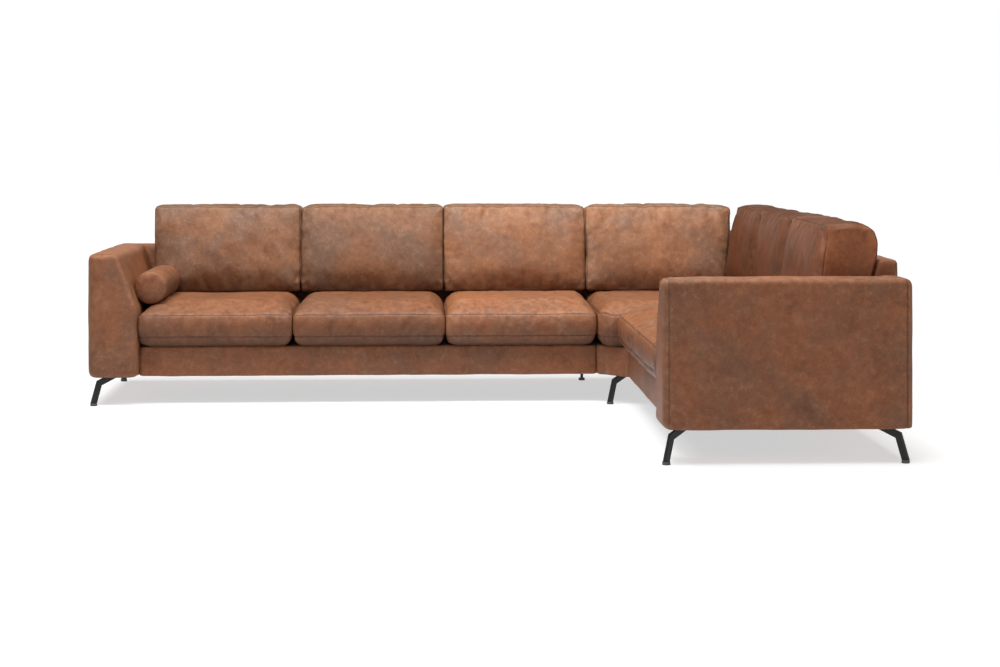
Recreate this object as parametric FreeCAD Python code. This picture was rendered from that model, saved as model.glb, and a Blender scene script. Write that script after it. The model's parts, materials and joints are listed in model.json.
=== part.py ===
import FreeCAD, Part
import math
import os

# Corner sofa: a long run of seats with an arm, a corner section and a return run with an arm.
# Millimetres, Z up. X runs along the long run and Y towards its back. While the pieces are made,
# the origin is on the floor below the outer front corner of the left arm.

# Plan
LONG_SEATS = 3
RETURN_SEATS = 2
SEAT_PITCH = 700.0
DEPTH = 950.0
ARM_WIDTH = 225.0
ARM_TOP_WIDTH = 134.0
RAIL_SETBACK = 60.0
CORNER_CHAMFER = 135.0

# Heights above the floor
UNDERSIDE = 130.0
DECK_TOP = 265.0
ARM_KNEE = 430.0
ARM_HEIGHT = 692.0
BACK_HEIGHT = 750.0

# Upholstery over the frames
ARM_EDGE_ROUND = 22.0
ARM_FRONT_ROUND = 17.0
ARM_PADDING = 25.0
ARM_END_PADDING = 40.0
BACK_TOP_THICKNESS = 77.0
BACK_FOOT_THICKNESS = 210.0
BACK_EDGE_ROUND = 12.0
BACK_PADDING = 25.0
BACK_SKIN = 12.0
RAIL_PADDING = 20.0
RAIL_EDGE_ROUND = 9.0
DECK_PADDING = 25.0
DUST_COVER = 1.5

# Timber
BOARD = 22.0
BEAM_WIDTH = 25.0
BEAM_HEIGHT = 95.0
TIE_HEIGHT = 70.0
TOP_RAIL_HEIGHT = 40.0
TOP_RAIL_WIDTH = 34.0
ARM_STEP = 380.0
ARM_HEAD_WIDTH = 84.0
BLOCK_LENGTH = 110.0
BLOCK_WIDTH = 120.0
BLOCK_HEIGHT = 30.0
MITRE_RIB_SETBACK = 40.0

# Seat springs
WIRE = 3.8
SPRINGS_PER_SEAT = 4
CORNER_SPRINGS = 4
SPRING_BAR = 32.0
SPRING_PITCH = 36.0
SPRING_CLEARANCE = 0.2
CLIP_WIDTH = 24.0
CLIP_LENGTH = 14.0
CLIP_WALL = 2.0
CORNER_SPRING_MARGIN = 75.0

# Loose cushions
REST_GAP = 0.3
CUSHION_GAP = 3.0
CUSHION_FRONT = 4.0
CUSHION_REAR_GAP = 5.0
SEAT_LOW_SEAM = 312.0
SEAT_HIGH_SEAM = 412.0
SEAT_CROWN = 468.0
SEAT_CROWN_REACH = 250.0
SEAT_TUCK = 24.0
SEAT_FRONT_BULGE = 5.0
BACK_FRONT = 620.0
BACK_LEAN = 34.0
BACK_CUSHION_TOP = 886.0
BACK_CUSHION_TUCK = 20.0
BACK_CUSHION_TOP_FRONT = 55.0
BACK_CUSHION_TOP_REAR = 75.0
BACK_CUSHION_CLEARANCE = 7.0
BACK_CUSHION_CROWN = 8.0
BOLSTER_DIAMETER = 150.0
BOLSTER_LENGTH = 500.0
BOLSTER_SETBACK = 100.0
BOLSTER_END_DISH = 6.0
BOLSTER_EDGE_ROUND = 12.0

# Legs
FOOT_INSET = 24.0
CORNER_FOOT_PROUD = 17.0
GLIDE_HEIGHT = 12.0
GLIDE_RADIUS = 16.0
GLIDE_TOP_RADIUS = 15.0
LEG_KNEE_REACH = 30.0
LEG_KNEE_HEIGHT = 101.0
LEG_RISE_ANGLE = 19.0
LEG_BAR_WIDTH = 27.0
LEG_BAR_THICKNESS = 12.0
LEG_PLATE_START = 50.0
LEG_PLATE_LENGTH = 115.0
LEG_PLATE_WIDTH = 60.0
PLATE_THICKNESS = 5.0
LEG_HOLE_NEAR = 100.0
LEG_HOLE_FAR = 140.0
LEG_HOLE_SIDE = 18.0

# Screws and joining plates
SCREW_RADIUS = 2.5
SCREW_LENGTH = 20.0
SCREW_HEAD_RADIUS = 4.5
SCREW_HEAD = 2.5
SCREW_CLEARANCE = 0.1
PLATE_HOLE_CLEARANCE = 0.3
JOINING_PLATE_LENGTH = 60.0
JOINING_PLATE_SETBACK = 180.0
JOINING_HOLE_SPACING = 36.0

# Lines that follow from the sizes above
SEAM_X = ARM_WIDTH + LONG_SEATS * SEAT_PITCH
SEAM_Y = RAIL_SETBACK - CORNER_CHAMFER
WIDTH = SEAM_X + DEPTH - SEAM_Y
RETURN_X = WIDTH - DEPTH
RETURN_RUN = RETURN_SEATS * SEAT_PITCH
REACH_Y = SEAM_Y - RETURN_RUN - ARM_WIDTH
BACK_FOOT = DEPTH - BACK_FOOT_THICKNESS
BACK_TOP_FRONT = DEPTH - BACK_TOP_THICKNESS
BACK_SLOPE = (BACK_TOP_FRONT - BACK_FOOT) / (BACK_HEIGHT - DECK_TOP)
RAIL_BACK = RAIL_SETBACK + RAIL_PADDING
BEAM_BACK = RAIL_BACK + BEAM_WIDTH
REAR_BEAM = BACK_FOOT - BEAM_WIDTH
FRAME_BASE = UNDERSIDE + DUST_COVER
BEAM_TOP = FRAME_BASE + BEAM_HEIGHT
DECK_BASE = DECK_TOP - DECK_PADDING
SEAT_BASE = DECK_TOP + REST_GAP
SEAT_REAR = BACK_FOOT - CUSHION_REAR_GAP
BACK_CUSHION_BASE = SEAT_CROWN + REST_GAP
UP = FreeCAD.Vector(0, 0, 1)


def vec(x, y, z=0.0):
    return FreeCAD.Vector(x, y, z)


def box(x0, x1, y0, y1, z0, z1):
    return Part.makeBox(x1 - x0, y1 - y0, z1 - z0, vec(x0, y0, z0))


def plan(z):
    """Points (a, b) on the level plane at height z."""
    return lambda a, b: vec(a, b, z)


def side(x):
    """Points (a, b) on the plane across a run at x, with a as depth and b as height."""
    return lambda a, b: vec(x, a, b)


def front(y):
    """Points (a, b) on the plane along a run at depth y, with a along the run and b as height."""
    return lambda a, b: vec(a, y, b)


def outline(corners, plane):
    """Closed wire through corners (a, b) or (a, b, radius), each rounded to its radius."""
    places = [vec(c[0], c[1]) for c in corners]
    radii = [c[2] if len(c) > 2 else 0.0 for c in corners]
    turns = []
    for i, here in enumerate(places):
        if radii[i] == 0.0:
            turns.append((here, None, here))
            continue
        before = (places[i - 1] - here).normalize()
        after = (places[(i + 1) % len(places)] - here).normalize()
        half = before.getAngle(after) / 2
        reach = radii[i] / math.tan(half)
        inward = (before + after).normalize()
        middle = here + inward * (radii[i] / math.sin(half) - radii[i])
        turns.append((here + before * reach, middle, here + after * reach))
    edges = []
    for i, (start, middle, end) in enumerate(turns):
        if middle is not None:
            ends = [plane(p.x, p.y) for p in (start, middle, end)]
            edges.append(Part.Arc(*ends).toShape())
        following = turns[(i + 1) % len(turns)][0]
        edges.append(Part.LineSegment(plane(end.x, end.y), plane(following.x, following.y)).toShape())
    return Part.Wire(edges)


def prism(corners, plane, along):
    return Part.Face(outline(corners, plane)).extrude(along)


def bowed(points, bows, plane):
    """Closed wire through the points; each side bows outward by its own height, or is straight at 0."""
    edges = []
    for i, (a, b) in enumerate(points):
        c, d = points[(i + 1) % len(points)]
        start = plane(a, b)
        end = plane(c, d)
        if bows[i] == 0.0:
            edges.append(Part.LineSegment(start, end).toShape())
            continue
        length = math.hypot(c - a, d - b)
        middle = plane((a + c) / 2 + bows[i] * (b - d) / length, (b + d) / 2 + bows[i] * (c - a) / length)
        edges.append(Part.Arc(start, middle, end).toShape())
    return Part.Wire(edges)


def loft(sections):
    return Part.makeLoft(sections, True, False)


def to_return(shape):
    """A shape made along a run from its origin, turned and moved to the return run."""
    placed = shape.copy()
    placed.rotate(vec(0, 0), UP, -90)
    placed.translate(vec(RETURN_X, SEAM_Y))
    return placed


def across_corner(shape):
    """The same shape on the other side of the corner section's diagonal."""
    return shape.mirror(vec(WIDTH, DEPTH), vec(1, -1))


def back_line(z):
    """Depth of the back's padded front face at height z."""
    return BACK_FOOT + max(0.0, z - DECK_TOP) * BACK_SLOPE


# Arms

def arm_cover():
    profile = [
        (0, UNDERSIDE),
        (0, ARM_HEIGHT, ARM_EDGE_ROUND),
        (ARM_TOP_WIDTH, ARM_HEIGHT, ARM_EDGE_ROUND),
        (ARM_WIDTH, ARM_KNEE),
        (ARM_WIDTH, UNDERSIDE),
    ]
    arm = prism(profile, front(0), vec(0, DEPTH))
    heel_profile = [
        (back_line(ARM_KNEE), ARM_KNEE),
        (back_line(ARM_HEIGHT), ARM_HEIGHT),
        (DEPTH, ARM_HEIGHT),
        (DEPTH, ARM_KNEE),
    ]
    heel_start = ARM_TOP_WIDTH / 2
    heel = prism(heel_profile, side(heel_start), vec(ARM_WIDTH - heel_start, 0))
    arm = arm.fuse(heel).removeSplitter()
    front_edges = []
    for edge in arm.Edges:
        limits = edge.BoundBox
        if limits.YMax < 0.01 and limits.ZMax > UNDERSIDE + 1:
            front_edges.append(edge)
    arm = arm.makeFillet(ARM_FRONT_ROUND, front_edges)
    return arm.cut(arm_hollow())


def arm_hollow():
    """Space inside the padding: wide below the step and narrow in the arm's head."""
    y0 = ARM_END_PADDING
    y1 = DEPTH - ARM_END_PADDING
    low = box(ARM_PADDING, ARM_WIDTH - ARM_PADDING, y0, y1, UNDERSIDE, ARM_STEP)
    head = box(ARM_PADDING, ARM_PADDING + ARM_HEAD_WIDTH, y0, y1, ARM_STEP, ARM_HEIGHT - ARM_PADDING)
    return low.fuse(head).removeSplitter()


def arm_timbers():
    """Bottom board, two end panels, a top rail and an inner rail."""
    x0 = ARM_PADDING
    head_x = ARM_PADDING + ARM_HEAD_WIDTH
    x1 = ARM_WIDTH - ARM_PADDING
    y0 = ARM_END_PADDING
    y1 = DEPTH - ARM_END_PADDING
    top = ARM_HEIGHT - ARM_PADDING
    board_top = UNDERSIDE + BOARD
    panel = [
        (x0, board_top),
        (x0, top),
        (head_x, top),
        (head_x, ARM_STEP),
        (x1, ARM_STEP),
        (x1, board_top),
    ]
    front_panel = prism(panel, front(y0), vec(0, BOARD))
    rear_panel = prism(panel, front(y1 - BOARD), vec(0, BOARD))
    bottom_board = box(x0, x1, y0, y1, UNDERSIDE, board_top)
    top_rail = box(x0, head_x, y0 + BOARD, y1 - BOARD, top - BOARD, top)
    inner_rail = box(x1 - BOARD, x1, y0 + BOARD, y1 - BOARD, ARM_STEP - TIE_HEIGHT, ARM_STEP)
    return [bottom_board, front_panel, rear_panel, top_rail, inner_rail]


def to_return_arm(shape):
    """A left arm's piece turned into the return arm's: mirrored and moved past the return's seats."""
    mirrored = shape.mirror(vec((RETURN_RUN + ARM_WIDTH) / 2, 0), vec(1, 0))
    return to_return(mirrored)


# Backs

def back_section():
    return [
        (DEPTH, UNDERSIDE),
        (BACK_FOOT, UNDERSIDE),
        (BACK_FOOT, DECK_TOP),
        (BACK_TOP_FRONT, BACK_HEIGHT, BACK_EDGE_ROUND),
        (DEPTH, BACK_HEIGHT, BACK_EDGE_ROUND),
    ]


def back_hollow_section(floor):
    return [
        (DEPTH - BACK_SKIN, floor),
        (BACK_FOOT + BACK_PADDING, floor),
        (BACK_FOOT + BACK_PADDING, DECK_TOP),
        (back_line(BACK_HEIGHT - BACK_PADDING) + BACK_PADDING, BACK_HEIGHT - BACK_PADDING),
        (DEPTH - BACK_SKIN, BACK_HEIGHT - BACK_PADDING),
    ]


def back_cover(x0, x1):
    cover = prism(back_section(), side(x0), vec(x1 - x0, 0))
    hollow = prism(back_hollow_section(UNDERSIDE), side(x0 + BACK_SKIN), vec(x1 - x0 - 2 * BACK_SKIN, 0))
    return cover.cut(hollow)


def back_board(x0, x1):
    return box(x0, x1, BACK_FOOT + BACK_PADDING, DEPTH - BACK_SKIN, UNDERSIDE, UNDERSIDE + BOARD)


def back_top_rail(x0, x1):
    top = BACK_HEIGHT - BACK_PADDING
    rear = DEPTH - BACK_SKIN
    return box(x0, x1, rear - TOP_RAIL_WIDTH, rear, top - TOP_RAIL_HEIGHT, top)


def back_rib(x, rail):
    """Upright board across the back, notched round the top rail."""
    rib = prism(back_hollow_section(UNDERSIDE + BOARD), side(x), vec(BOARD, 0))
    return rib.cut(rail)


def back_timbers(x0, seats):
    """Bottom board, top rail and a rib at each end and at each join between seats."""
    start = x0 + BACK_SKIN
    end = x0 + seats * SEAT_PITCH - BACK_SKIN
    rail = back_top_rail(start, end)
    places = [start, end - BOARD]
    for seat in range(1, seats):
        places.append(x0 + seat * SEAT_PITCH - BOARD / 2)
    return [back_board(start, end), rail] + [back_rib(x, rail) for x in places]


def mitre_side(gap):
    """Everything behind the corner section's diagonal, kept back from it by the gap."""
    reach = BACK_FOOT_THICKNESS + BACK_PADDING
    corners = [
        (WIDTH - gap, DEPTH),
        (WIDTH - gap - reach, DEPTH - reach),
        (SEAM_X, DEPTH - reach),
        (SEAM_X, DEPTH),
    ]
    return prism(corners, plan(0), UP * (2 * BACK_HEIGHT))


def corner_back_cover():
    cover = prism(back_section(), side(SEAM_X), vec(WIDTH - SEAM_X, 0)).common(mitre_side(0.0))
    hollow = prism(back_hollow_section(UNDERSIDE), side(SEAM_X + BACK_SKIN), vec(WIDTH - SEAM_X, 0))
    return cover.cut(hollow.common(mitre_side(BACK_SKIN)))


def corner_back_timbers():
    start = SEAM_X + BACK_SKIN
    keep = mitre_side(BACK_SKIN)
    rail = back_top_rail(start, WIDTH).common(keep)
    inner_rib_x = WIDTH - BACK_FOOT_THICKNESS - MITRE_RIB_SETBACK - BOARD
    ribs = [back_rib(x, rail) for x in (start, inner_rib_x)]
    return [back_board(start, WIDTH).common(keep), rail] + ribs


# Base frames and seat decks

def front_rail(x0, x1):
    section = [
        (RAIL_SETBACK, UNDERSIDE, RAIL_EDGE_ROUND),
        (RAIL_SETBACK, DECK_TOP, RAIL_EDGE_ROUND),
        (RAIL_BACK, DECK_TOP),
        (RAIL_BACK, UNDERSIDE),
    ]
    return prism(section, side(x0), vec(x1 - x0, 0))


def base_frame(x0, seats):
    """Front and rear beam with a tie at each end and at each join between seats."""
    x1 = x0 + seats * SEAT_PITCH
    timbers = [
        box(x0, x1, RAIL_BACK, BEAM_BACK, FRAME_BASE, BEAM_TOP),
        box(x0, x1, REAR_BEAM, BACK_FOOT, FRAME_BASE, BEAM_TOP),
    ]
    places = [x0, x1 - BEAM_WIDTH]
    for seat in range(1, seats):
        places.append(x0 + seat * SEAT_PITCH - BEAM_WIDTH / 2)
    for x in places:
        timbers.append(box(x, x + BEAM_WIDTH, BEAM_BACK, REAR_BEAM, FRAME_BASE, FRAME_BASE + TIE_HEIGHT))
    return timbers


def run_sheet(x0, x1, z0, z1):
    """Sheet between the front rail's padding and the back."""
    return box(x0, x1, RAIL_BACK, BACK_FOOT, z0, z1)


def corner_strip(inner, outer, z0, z1):
    """Strip along the corner section's chamfer, between two depths behind its front face."""
    a = inner * math.sqrt(2)
    b = outer * math.sqrt(2)
    corners = [
        (SEAM_X, RAIL_SETBACK + a),
        (SEAM_X + CORNER_CHAMFER + a, SEAM_Y),
        (SEAM_X + CORNER_CHAMFER + b, SEAM_Y),
        (SEAM_X, RAIL_SETBACK + b),
    ]
    return prism(corners, plan(z0), UP * (z1 - z0))


def corner_rail():
    rail = corner_strip(0.0, RAIL_PADDING, UNDERSIDE, DECK_TOP)
    middle_sum = SEAM_X + RAIL_SETBACK
    outer_edges = []
    for edge in rail.Edges:
        centre = edge.BoundBox.Center
        level = edge.BoundBox.ZLength < 0.01
        if level and abs(centre.x + centre.y - middle_sum) < 0.01:
            outer_edges.append(edge)
    return rail.makeFillet(RAIL_EDGE_ROUND, outer_edges)


def corner_base_frame():
    """Beam behind the chamfer, ties at both seams, and beams along the two backs."""
    rear_x = RETURN_X + BACK_FOOT
    strip_end = (RAIL_PADDING + BEAM_WIDTH) * math.sqrt(2)
    tie_y = RAIL_SETBACK + strip_end
    tie_x = SEAM_X + CORNER_CHAMFER + strip_end
    return [
        corner_strip(RAIL_PADDING, RAIL_PADDING + BEAM_WIDTH, FRAME_BASE, BEAM_TOP),
        box(SEAM_X, SEAM_X + BEAM_WIDTH, tie_y, REAR_BEAM, FRAME_BASE, BEAM_TOP),
        box(tie_x, rear_x - BEAM_WIDTH, SEAM_Y, SEAM_Y + BEAM_WIDTH, FRAME_BASE, BEAM_TOP),
        box(SEAM_X, rear_x, REAR_BEAM, BACK_FOOT, FRAME_BASE, BEAM_TOP),
        box(rear_x - BEAM_WIDTH, rear_x, SEAM_Y, REAR_BEAM, FRAME_BASE, BEAM_TOP),
    ]


def corner_sheet(z0, z1):
    strip = RAIL_PADDING * math.sqrt(2)
    rear_x = RETURN_X + BACK_FOOT
    corners = [
        (SEAM_X, RAIL_SETBACK + strip),
        (SEAM_X + CORNER_CHAMFER + strip, SEAM_Y),
        (rear_x, SEAM_Y),
        (rear_x, BACK_FOOT),
        (SEAM_X, BACK_FOOT),
    ]
    return prism(corners, plan(z0), UP * (z1 - z0))


# Springs, their clips and the felt over them

SPRING_Z = BEAM_TOP + SPRING_CLEARANCE + WIRE / 2
FELT_BASE = SPRING_Z + WIRE / 2 + SPRING_CLEARANCE


def zigzag_spring(y0, y1):
    """Flat zigzag wire from y0 to y1, centred on X = 0, with bars across and half turns between them."""
    bars = max(2, round((y1 - y0) / SPRING_PITCH))
    pitch = (y1 - y0) / bars
    hand = 1.0
    edges = []
    for bar in range(bars + 1):
        y = y0 + bar * pitch
        near = vec(-hand * SPRING_BAR / 2, y, SPRING_Z)
        far = vec(hand * SPRING_BAR / 2, y, SPRING_Z)
        edges.append(Part.LineSegment(near, far).toShape())
        if bar < bars:
            crest = vec(hand * (SPRING_BAR + pitch) / 2, y + pitch / 2, SPRING_Z)
            after = vec(hand * SPRING_BAR / 2, y + pitch, SPRING_Z)
            edges.append(Part.Arc(far, crest, after).toShape())
        hand = -hand
    start = vec(-SPRING_BAR / 2, y0, SPRING_Z)
    ring = Part.Wire(Part.makeCircle(WIRE / 2, start, vec(1, 0)))
    return Part.Wire(edges).makePipeShell([ring], True, False)


def spring_clip(x, y):
    """Folded clip on top of a beam, bridging a spring's end bar."""
    height = WIRE + 2 * SPRING_CLEARANCE
    body = box(x - CLIP_WIDTH / 2, x + CLIP_WIDTH / 2, y - CLIP_LENGTH / 2, y + CLIP_LENGTH / 2,
               BEAM_TOP, BEAM_TOP + height + CLIP_WALL)
    half = WIRE / 2 + SPRING_CLEARANCE
    channel = box(x - CLIP_WIDTH, x + CLIP_WIDTH, y - half, y + half, BEAM_TOP, BEAM_TOP + height)
    return body.cut(channel)


def springs_and_clips(places, y0, y1):
    pattern = zigzag_spring(y0, y1)
    springs = [pattern.translated(vec(x, 0)) for x in places]
    clips = []
    for x in places:
        clips.append(spring_clip(x, y0))
        clips.append(spring_clip(x, y1))
    return springs, clips


def run_spring_places(x0, seats):
    spacing = SEAT_PITCH / SPRINGS_PER_SEAT
    return [x0 + spacing * (i + 0.5) for i in range(seats * SPRINGS_PER_SEAT)]


def corner_spring_places():
    start = SEAM_X + CORNER_CHAMFER + CORNER_SPRING_MARGIN + BEAM_WIDTH
    end = RETURN_X + REAR_BEAM - CORNER_SPRING_MARGIN
    step = (end - start) / (CORNER_SPRINGS - 1)
    return [start + step * i for i in range(CORNER_SPRINGS)]


def felt(x0, x1, y0, y1):
    return box(x0, x1, y0 + CLIP_LENGTH, y1 - CLIP_LENGTH, FELT_BASE, DECK_BASE)


# Loose cushions

def seat_section(x, inset, crown):
    """Section of a seat cushion across the run: flat base, bowed front, crowned top."""
    face = CUSHION_FRONT + SEAT_FRONT_BULGE + inset
    rise = crown - SEAT_HIGH_SEAM
    points = [
        (SEAT_REAR, SEAT_BASE),
        (face + SEAT_TUCK, SEAT_BASE),
        (face, SEAT_LOW_SEAM),
        (face, SEAT_HIGH_SEAM),
        (face + SEAT_CROWN_REACH, crown),
        (SEAT_REAR, crown),
    ]
    bows = [0.0, SEAT_TUCK / 4, SEAT_FRONT_BULGE, rise / 3, 0.0, 0.0]
    return bowed(points, bows, side(x))


def crowned(width, steps, section):
    """Cushion along a run: two ends that fill out through the steps, and a gently crowned middle."""
    near = [section(*step) for step in steps]
    far = [section(width - step[0], *step[1:]) for step in steps]
    middle = section(width / 2, 0.0, 1.0)
    parts = [loft(near), loft([near[-1], middle, far[-1]]), loft(far)]
    return parts[0].multiFuse(parts[1:])


def seat_cushion():
    """Seat cushion for the seat that starts at X = 0."""
    rise = SEAT_CROWN - SEAT_HIGH_SEAM

    def section(at, inset, share):
        return seat_section(CUSHION_GAP + at, inset, SEAT_HIGH_SEAM + share * rise)

    steps = [(0.0, 24.0, 0.32), (14.0, 11.0, 0.50), (50.0, 3.0, 0.74), (120.0, 1.0, 0.92)]
    return crowned(SEAT_PITCH - 2 * CUSHION_GAP, steps, section)


def corner_seat_cushion():
    """Square cushion with its inner corner cut along the chamfer, full height along its two rear sides."""
    x0 = SEAM_X + CUSHION_GAP
    y0 = SEAM_Y + CUSHION_GAP
    x1 = RETURN_X + SEAT_REAR
    y1 = SEAT_REAR
    cut = SEAM_X + RAIL_SETBACK + (CUSHION_FRONT - RAIL_SETBACK) * math.sqrt(2)
    rise = SEAT_CROWN - SEAT_HIGH_SEAM
    levels = [
        (SEAT_BASE, 16.0),
        (SEAT_LOW_SEAM, 2.0),
        ((SEAT_LOW_SEAM + SEAT_HIGH_SEAM) / 2, 0.0),
        (SEAT_HIGH_SEAM, 2.0),
        (SEAT_HIGH_SEAM + 0.60 * rise, 20.0),
        (SEAT_HIGH_SEAM + 0.92 * rise, 70.0),
        (SEAT_CROWN, 150.0),
    ]
    sections = []
    for z, inset in levels:
        diagonal = cut + inset * math.sqrt(2)
        corners = [
            (x0 + inset, diagonal - x0 - inset),
            (diagonal - y0 - inset, y0 + inset),
            (x1, y0 + inset),
            (x1, y1),
            (x0 + inset, y1),
        ]
        sections.append(outline(corners, plan(z)))
    parts = [loft(sections[:4]), loft(sections[3:6]), loft(sections[5:])]
    return parts[0].multiFuse(parts[1:])


def back_cushion_section(x, inset):
    """Section of a back cushion: leaning front, round top, back along the sofa's sloping back."""
    base = BACK_CUSHION_BASE + inset / 4
    top = BACK_CUSHION_TOP - inset / 2
    rise = top - base
    low_front = BACK_FRONT + inset
    rear_low = back_line(base) - BACK_CUSHION_CLEARANCE - inset / 2
    rear_high_z = BACK_HEIGHT - inset / 2
    rear_high = back_line(rear_high_z) - BACK_CUSHION_CLEARANCE - inset / 2
    points = [
        (rear_low, base),
        (low_front + BACK_CUSHION_TUCK, base),
        (low_front, base + 0.10 * rise),
        (low_front + BACK_LEAN, base + 0.87 * rise),
        (low_front + BACK_LEAN + BACK_CUSHION_TOP_FRONT, top),
        (rear_high - BACK_CUSHION_TOP_REAR, top),
        (rear_high, rear_high_z),
    ]
    bows = [0.0, 6.0, 6.0, 14.0, 3.0, 34.0, 0.0]
    return bowed(points, bows, side(x))


def back_cushion():
    """Back cushion for the seat that starts at X = 0."""
    def section(at, inset, share):
        return back_cushion_section(CUSHION_GAP + at, inset + BACK_CUSHION_CROWN * (1 - share))

    steps = [(0.0, 24.0, 0.5), (14.0, 10.0, 0.6), (50.0, 2.0, 0.8), (120.0, 0.0, 0.9)]
    return crowned(SEAT_PITCH - 2 * CUSHION_GAP, steps, section)


def bolster(seat):
    """Round bolster lying on the first seat cushion, against the left arm."""
    radius = BOLSTER_DIAMETER / 2
    half = BOLSTER_LENGTH / 2
    profile = [
        (0, -half + BOLSTER_END_DISH),
        (radius - 2 * BOLSTER_EDGE_ROUND, -half),
        (radius, -half, BOLSTER_EDGE_ROUND),
        (radius, half, BOLSTER_EDGE_ROUND),
        (radius - 2 * BOLSTER_EDGE_ROUND, half),
        (0, half - BOLSTER_END_DISH),
    ]
    roll = Part.Face(outline(profile, plan(0))).revolve(vec(0, 0), vec(0, 1), 360)
    slope = math.atan2(ARM_WIDTH - ARM_TOP_WIDTH, ARM_HEIGHT - ARM_KNEE)
    height = SEAT_CROWN + radius
    arm_face = ARM_TOP_WIDTH + (ARM_HEIGHT - height) * math.tan(slope)
    x = arm_face + (radius + REST_GAP) / math.cos(slope)
    roll.translate(vec(x, BOLSTER_SETBACK + half, height))
    down_the_arm = vec(math.sin(slope), 0, -math.cos(slope))
    for _ in range(8):
        roll.translate(down_the_arm * (roll.distToShape(seat)[0] - REST_GAP))
    return roll


# Legs

def leg():
    """Bent flat bar welded to its plate, with its foot at the origin and its plate towards +X."""
    low_angle = math.atan2(LEG_KNEE_HEIGHT - GLIDE_HEIGHT, LEG_KNEE_REACH)
    rise_angle = math.radians(LEG_RISE_ANGLE)
    half = LEG_BAR_WIDTH / 2
    bisector = (low_angle + rise_angle) / 2
    mitre = half / math.cos((low_angle - rise_angle) / 2)
    knee_out = (LEG_KNEE_REACH - mitre * math.sin(bisector), LEG_KNEE_HEIGHT + mitre * math.cos(bisector))
    knee_in = (LEG_KNEE_REACH + mitre * math.sin(bisector), LEG_KNEE_HEIGHT - mitre * math.cos(bisector))
    foot_half = half / math.sin(low_angle)
    plate_base = UNDERSIDE - PLATE_THICKNESS
    upper_end = knee_out[0] + (plate_base - knee_out[1]) / math.tan(rise_angle)
    lower_end = knee_in[0] + (plate_base - knee_in[1]) / math.tan(rise_angle)
    bar_corners = [
        (-foot_half, GLIDE_HEIGHT),
        knee_out,
        (upper_end, plate_base),
        (lower_end, plate_base),
        knee_in,
        (foot_half, GLIDE_HEIGHT),
    ]
    bar = prism(bar_corners, front(-LEG_BAR_THICKNESS / 2), vec(0, LEG_BAR_THICKNESS))
    plate = box(LEG_PLATE_START, LEG_PLATE_START + LEG_PLATE_LENGTH,
                -LEG_PLATE_WIDTH / 2, LEG_PLATE_WIDTH / 2, plate_base, UNDERSIDE)
    for x, y in leg_holes():
        hole = Part.makeCylinder(SCREW_RADIUS + PLATE_HOLE_CLEARANCE, PLATE_THICKNESS, vec(x, y, plate_base))
        plate = plate.cut(hole)
    return bar.fuse(plate)


def leg_holes():
    return [(x, y) for x in (LEG_HOLE_NEAR, LEG_HOLE_FAR) for y in (-LEG_HOLE_SIDE, LEG_HOLE_SIDE)]


def glide():
    return Part.makeCone(GLIDE_RADIUS, GLIDE_TOP_RADIUS, GLIDE_HEIGHT)


def leg_places():
    """Name, foot position, and the direction in degrees from the foot to its plate."""
    inset = FOOT_INSET
    seam_inset = DEPTH - inset
    corner_middle = CORNER_CHAMFER / 2 - CORNER_FOOT_PROUD / math.sqrt(2)
    return [
        ("leg_left_front", inset, inset, 45),
        ("leg_left_rear", inset, DEPTH - inset, -45),
        ("leg_long_seam", SEAM_X, REAR_BEAM + BEAM_WIDTH / 2 + LEG_HOLE_FAR, -90),
        ("leg_inner_corner", SEAM_X + corner_middle, SEAM_Y + corner_middle, 45),
        ("leg_outer_corner", WIDTH - inset, DEPTH - inset, -135),
        ("leg_return_seam", RETURN_X + REAR_BEAM + BEAM_WIDTH / 2 + LEG_HOLE_FAR, SEAM_Y, 180),
        ("leg_return_front", RETURN_X + inset, REACH_Y + inset, 45),
        ("leg_return_rear", RETURN_X + seam_inset, REACH_Y + inset, 135),
    ]


def at_foot(shape, x, y, turn):
    placed = shape.copy()
    placed.rotate(vec(0, 0), UP, turn)
    placed.translate(vec(x, y))
    return placed


def inner_leg_block():
    """Timber behind the chamfer's beam for the inner corner leg's plate, and screwed through it."""
    start = CORNER_FOOT_PROUD + RAIL_PADDING + BEAM_WIDTH
    return box(start, start + BLOCK_LENGTH, -BLOCK_WIDTH / 2, BLOCK_WIDTH / 2,
               FRAME_BASE, FRAME_BASE + BLOCK_HEIGHT)


# Joining plates and screws

def joining_plate_places():
    """Centre of each plate and its holes: one under each seam, near the front."""
    half = JOINING_HOLE_SPACING / 2
    across = BEAM_WIDTH / 2
    front_y = RAIL_SETBACK + JOINING_PLATE_SETBACK
    side_x = RETURN_X + front_y
    holes = [(a, b) for a in (-across, across) for b in (-half, half)]
    return [
        (SEAM_X, front_y, 0, holes),
        (side_x, SEAM_Y, 90, holes),
    ]


def joining_plate(holes):
    base = UNDERSIDE - PLATE_THICKNESS
    plate = box(-BEAM_WIDTH, BEAM_WIDTH, -JOINING_PLATE_LENGTH / 2, JOINING_PLATE_LENGTH / 2, base, UNDERSIDE)
    for x, y in holes:
        plate = plate.cut(Part.makeCylinder(SCREW_RADIUS + PLATE_HOLE_CLEARANCE, PLATE_THICKNESS, vec(x, y, base)))
    return plate


def screw(x, y):
    """Pan-head screw, its head under a plate and its shank up into the timber."""
    seat = UNDERSIDE - PLATE_THICKNESS
    head = Part.makeCylinder(SCREW_HEAD_RADIUS, SCREW_HEAD, vec(x, y, seat - SCREW_HEAD))
    shank = Part.makeCylinder(SCREW_RADIUS, PLATE_THICKNESS + SCREW_LENGTH, vec(x, y, seat))
    return head.fuse(shank)


def screw_places():
    places = []
    rows = [(x, y, turn, leg_holes()) for _, x, y, turn in leg_places()] + joining_plate_places()
    for x, y, turn, holes in rows:
        cosine = math.cos(math.radians(turn))
        sine = math.sin(math.radians(turn))
        for a, b in holes:
            places.append((x + a * cosine - b * sine, y + a * sine + b * cosine))
    return places


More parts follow.
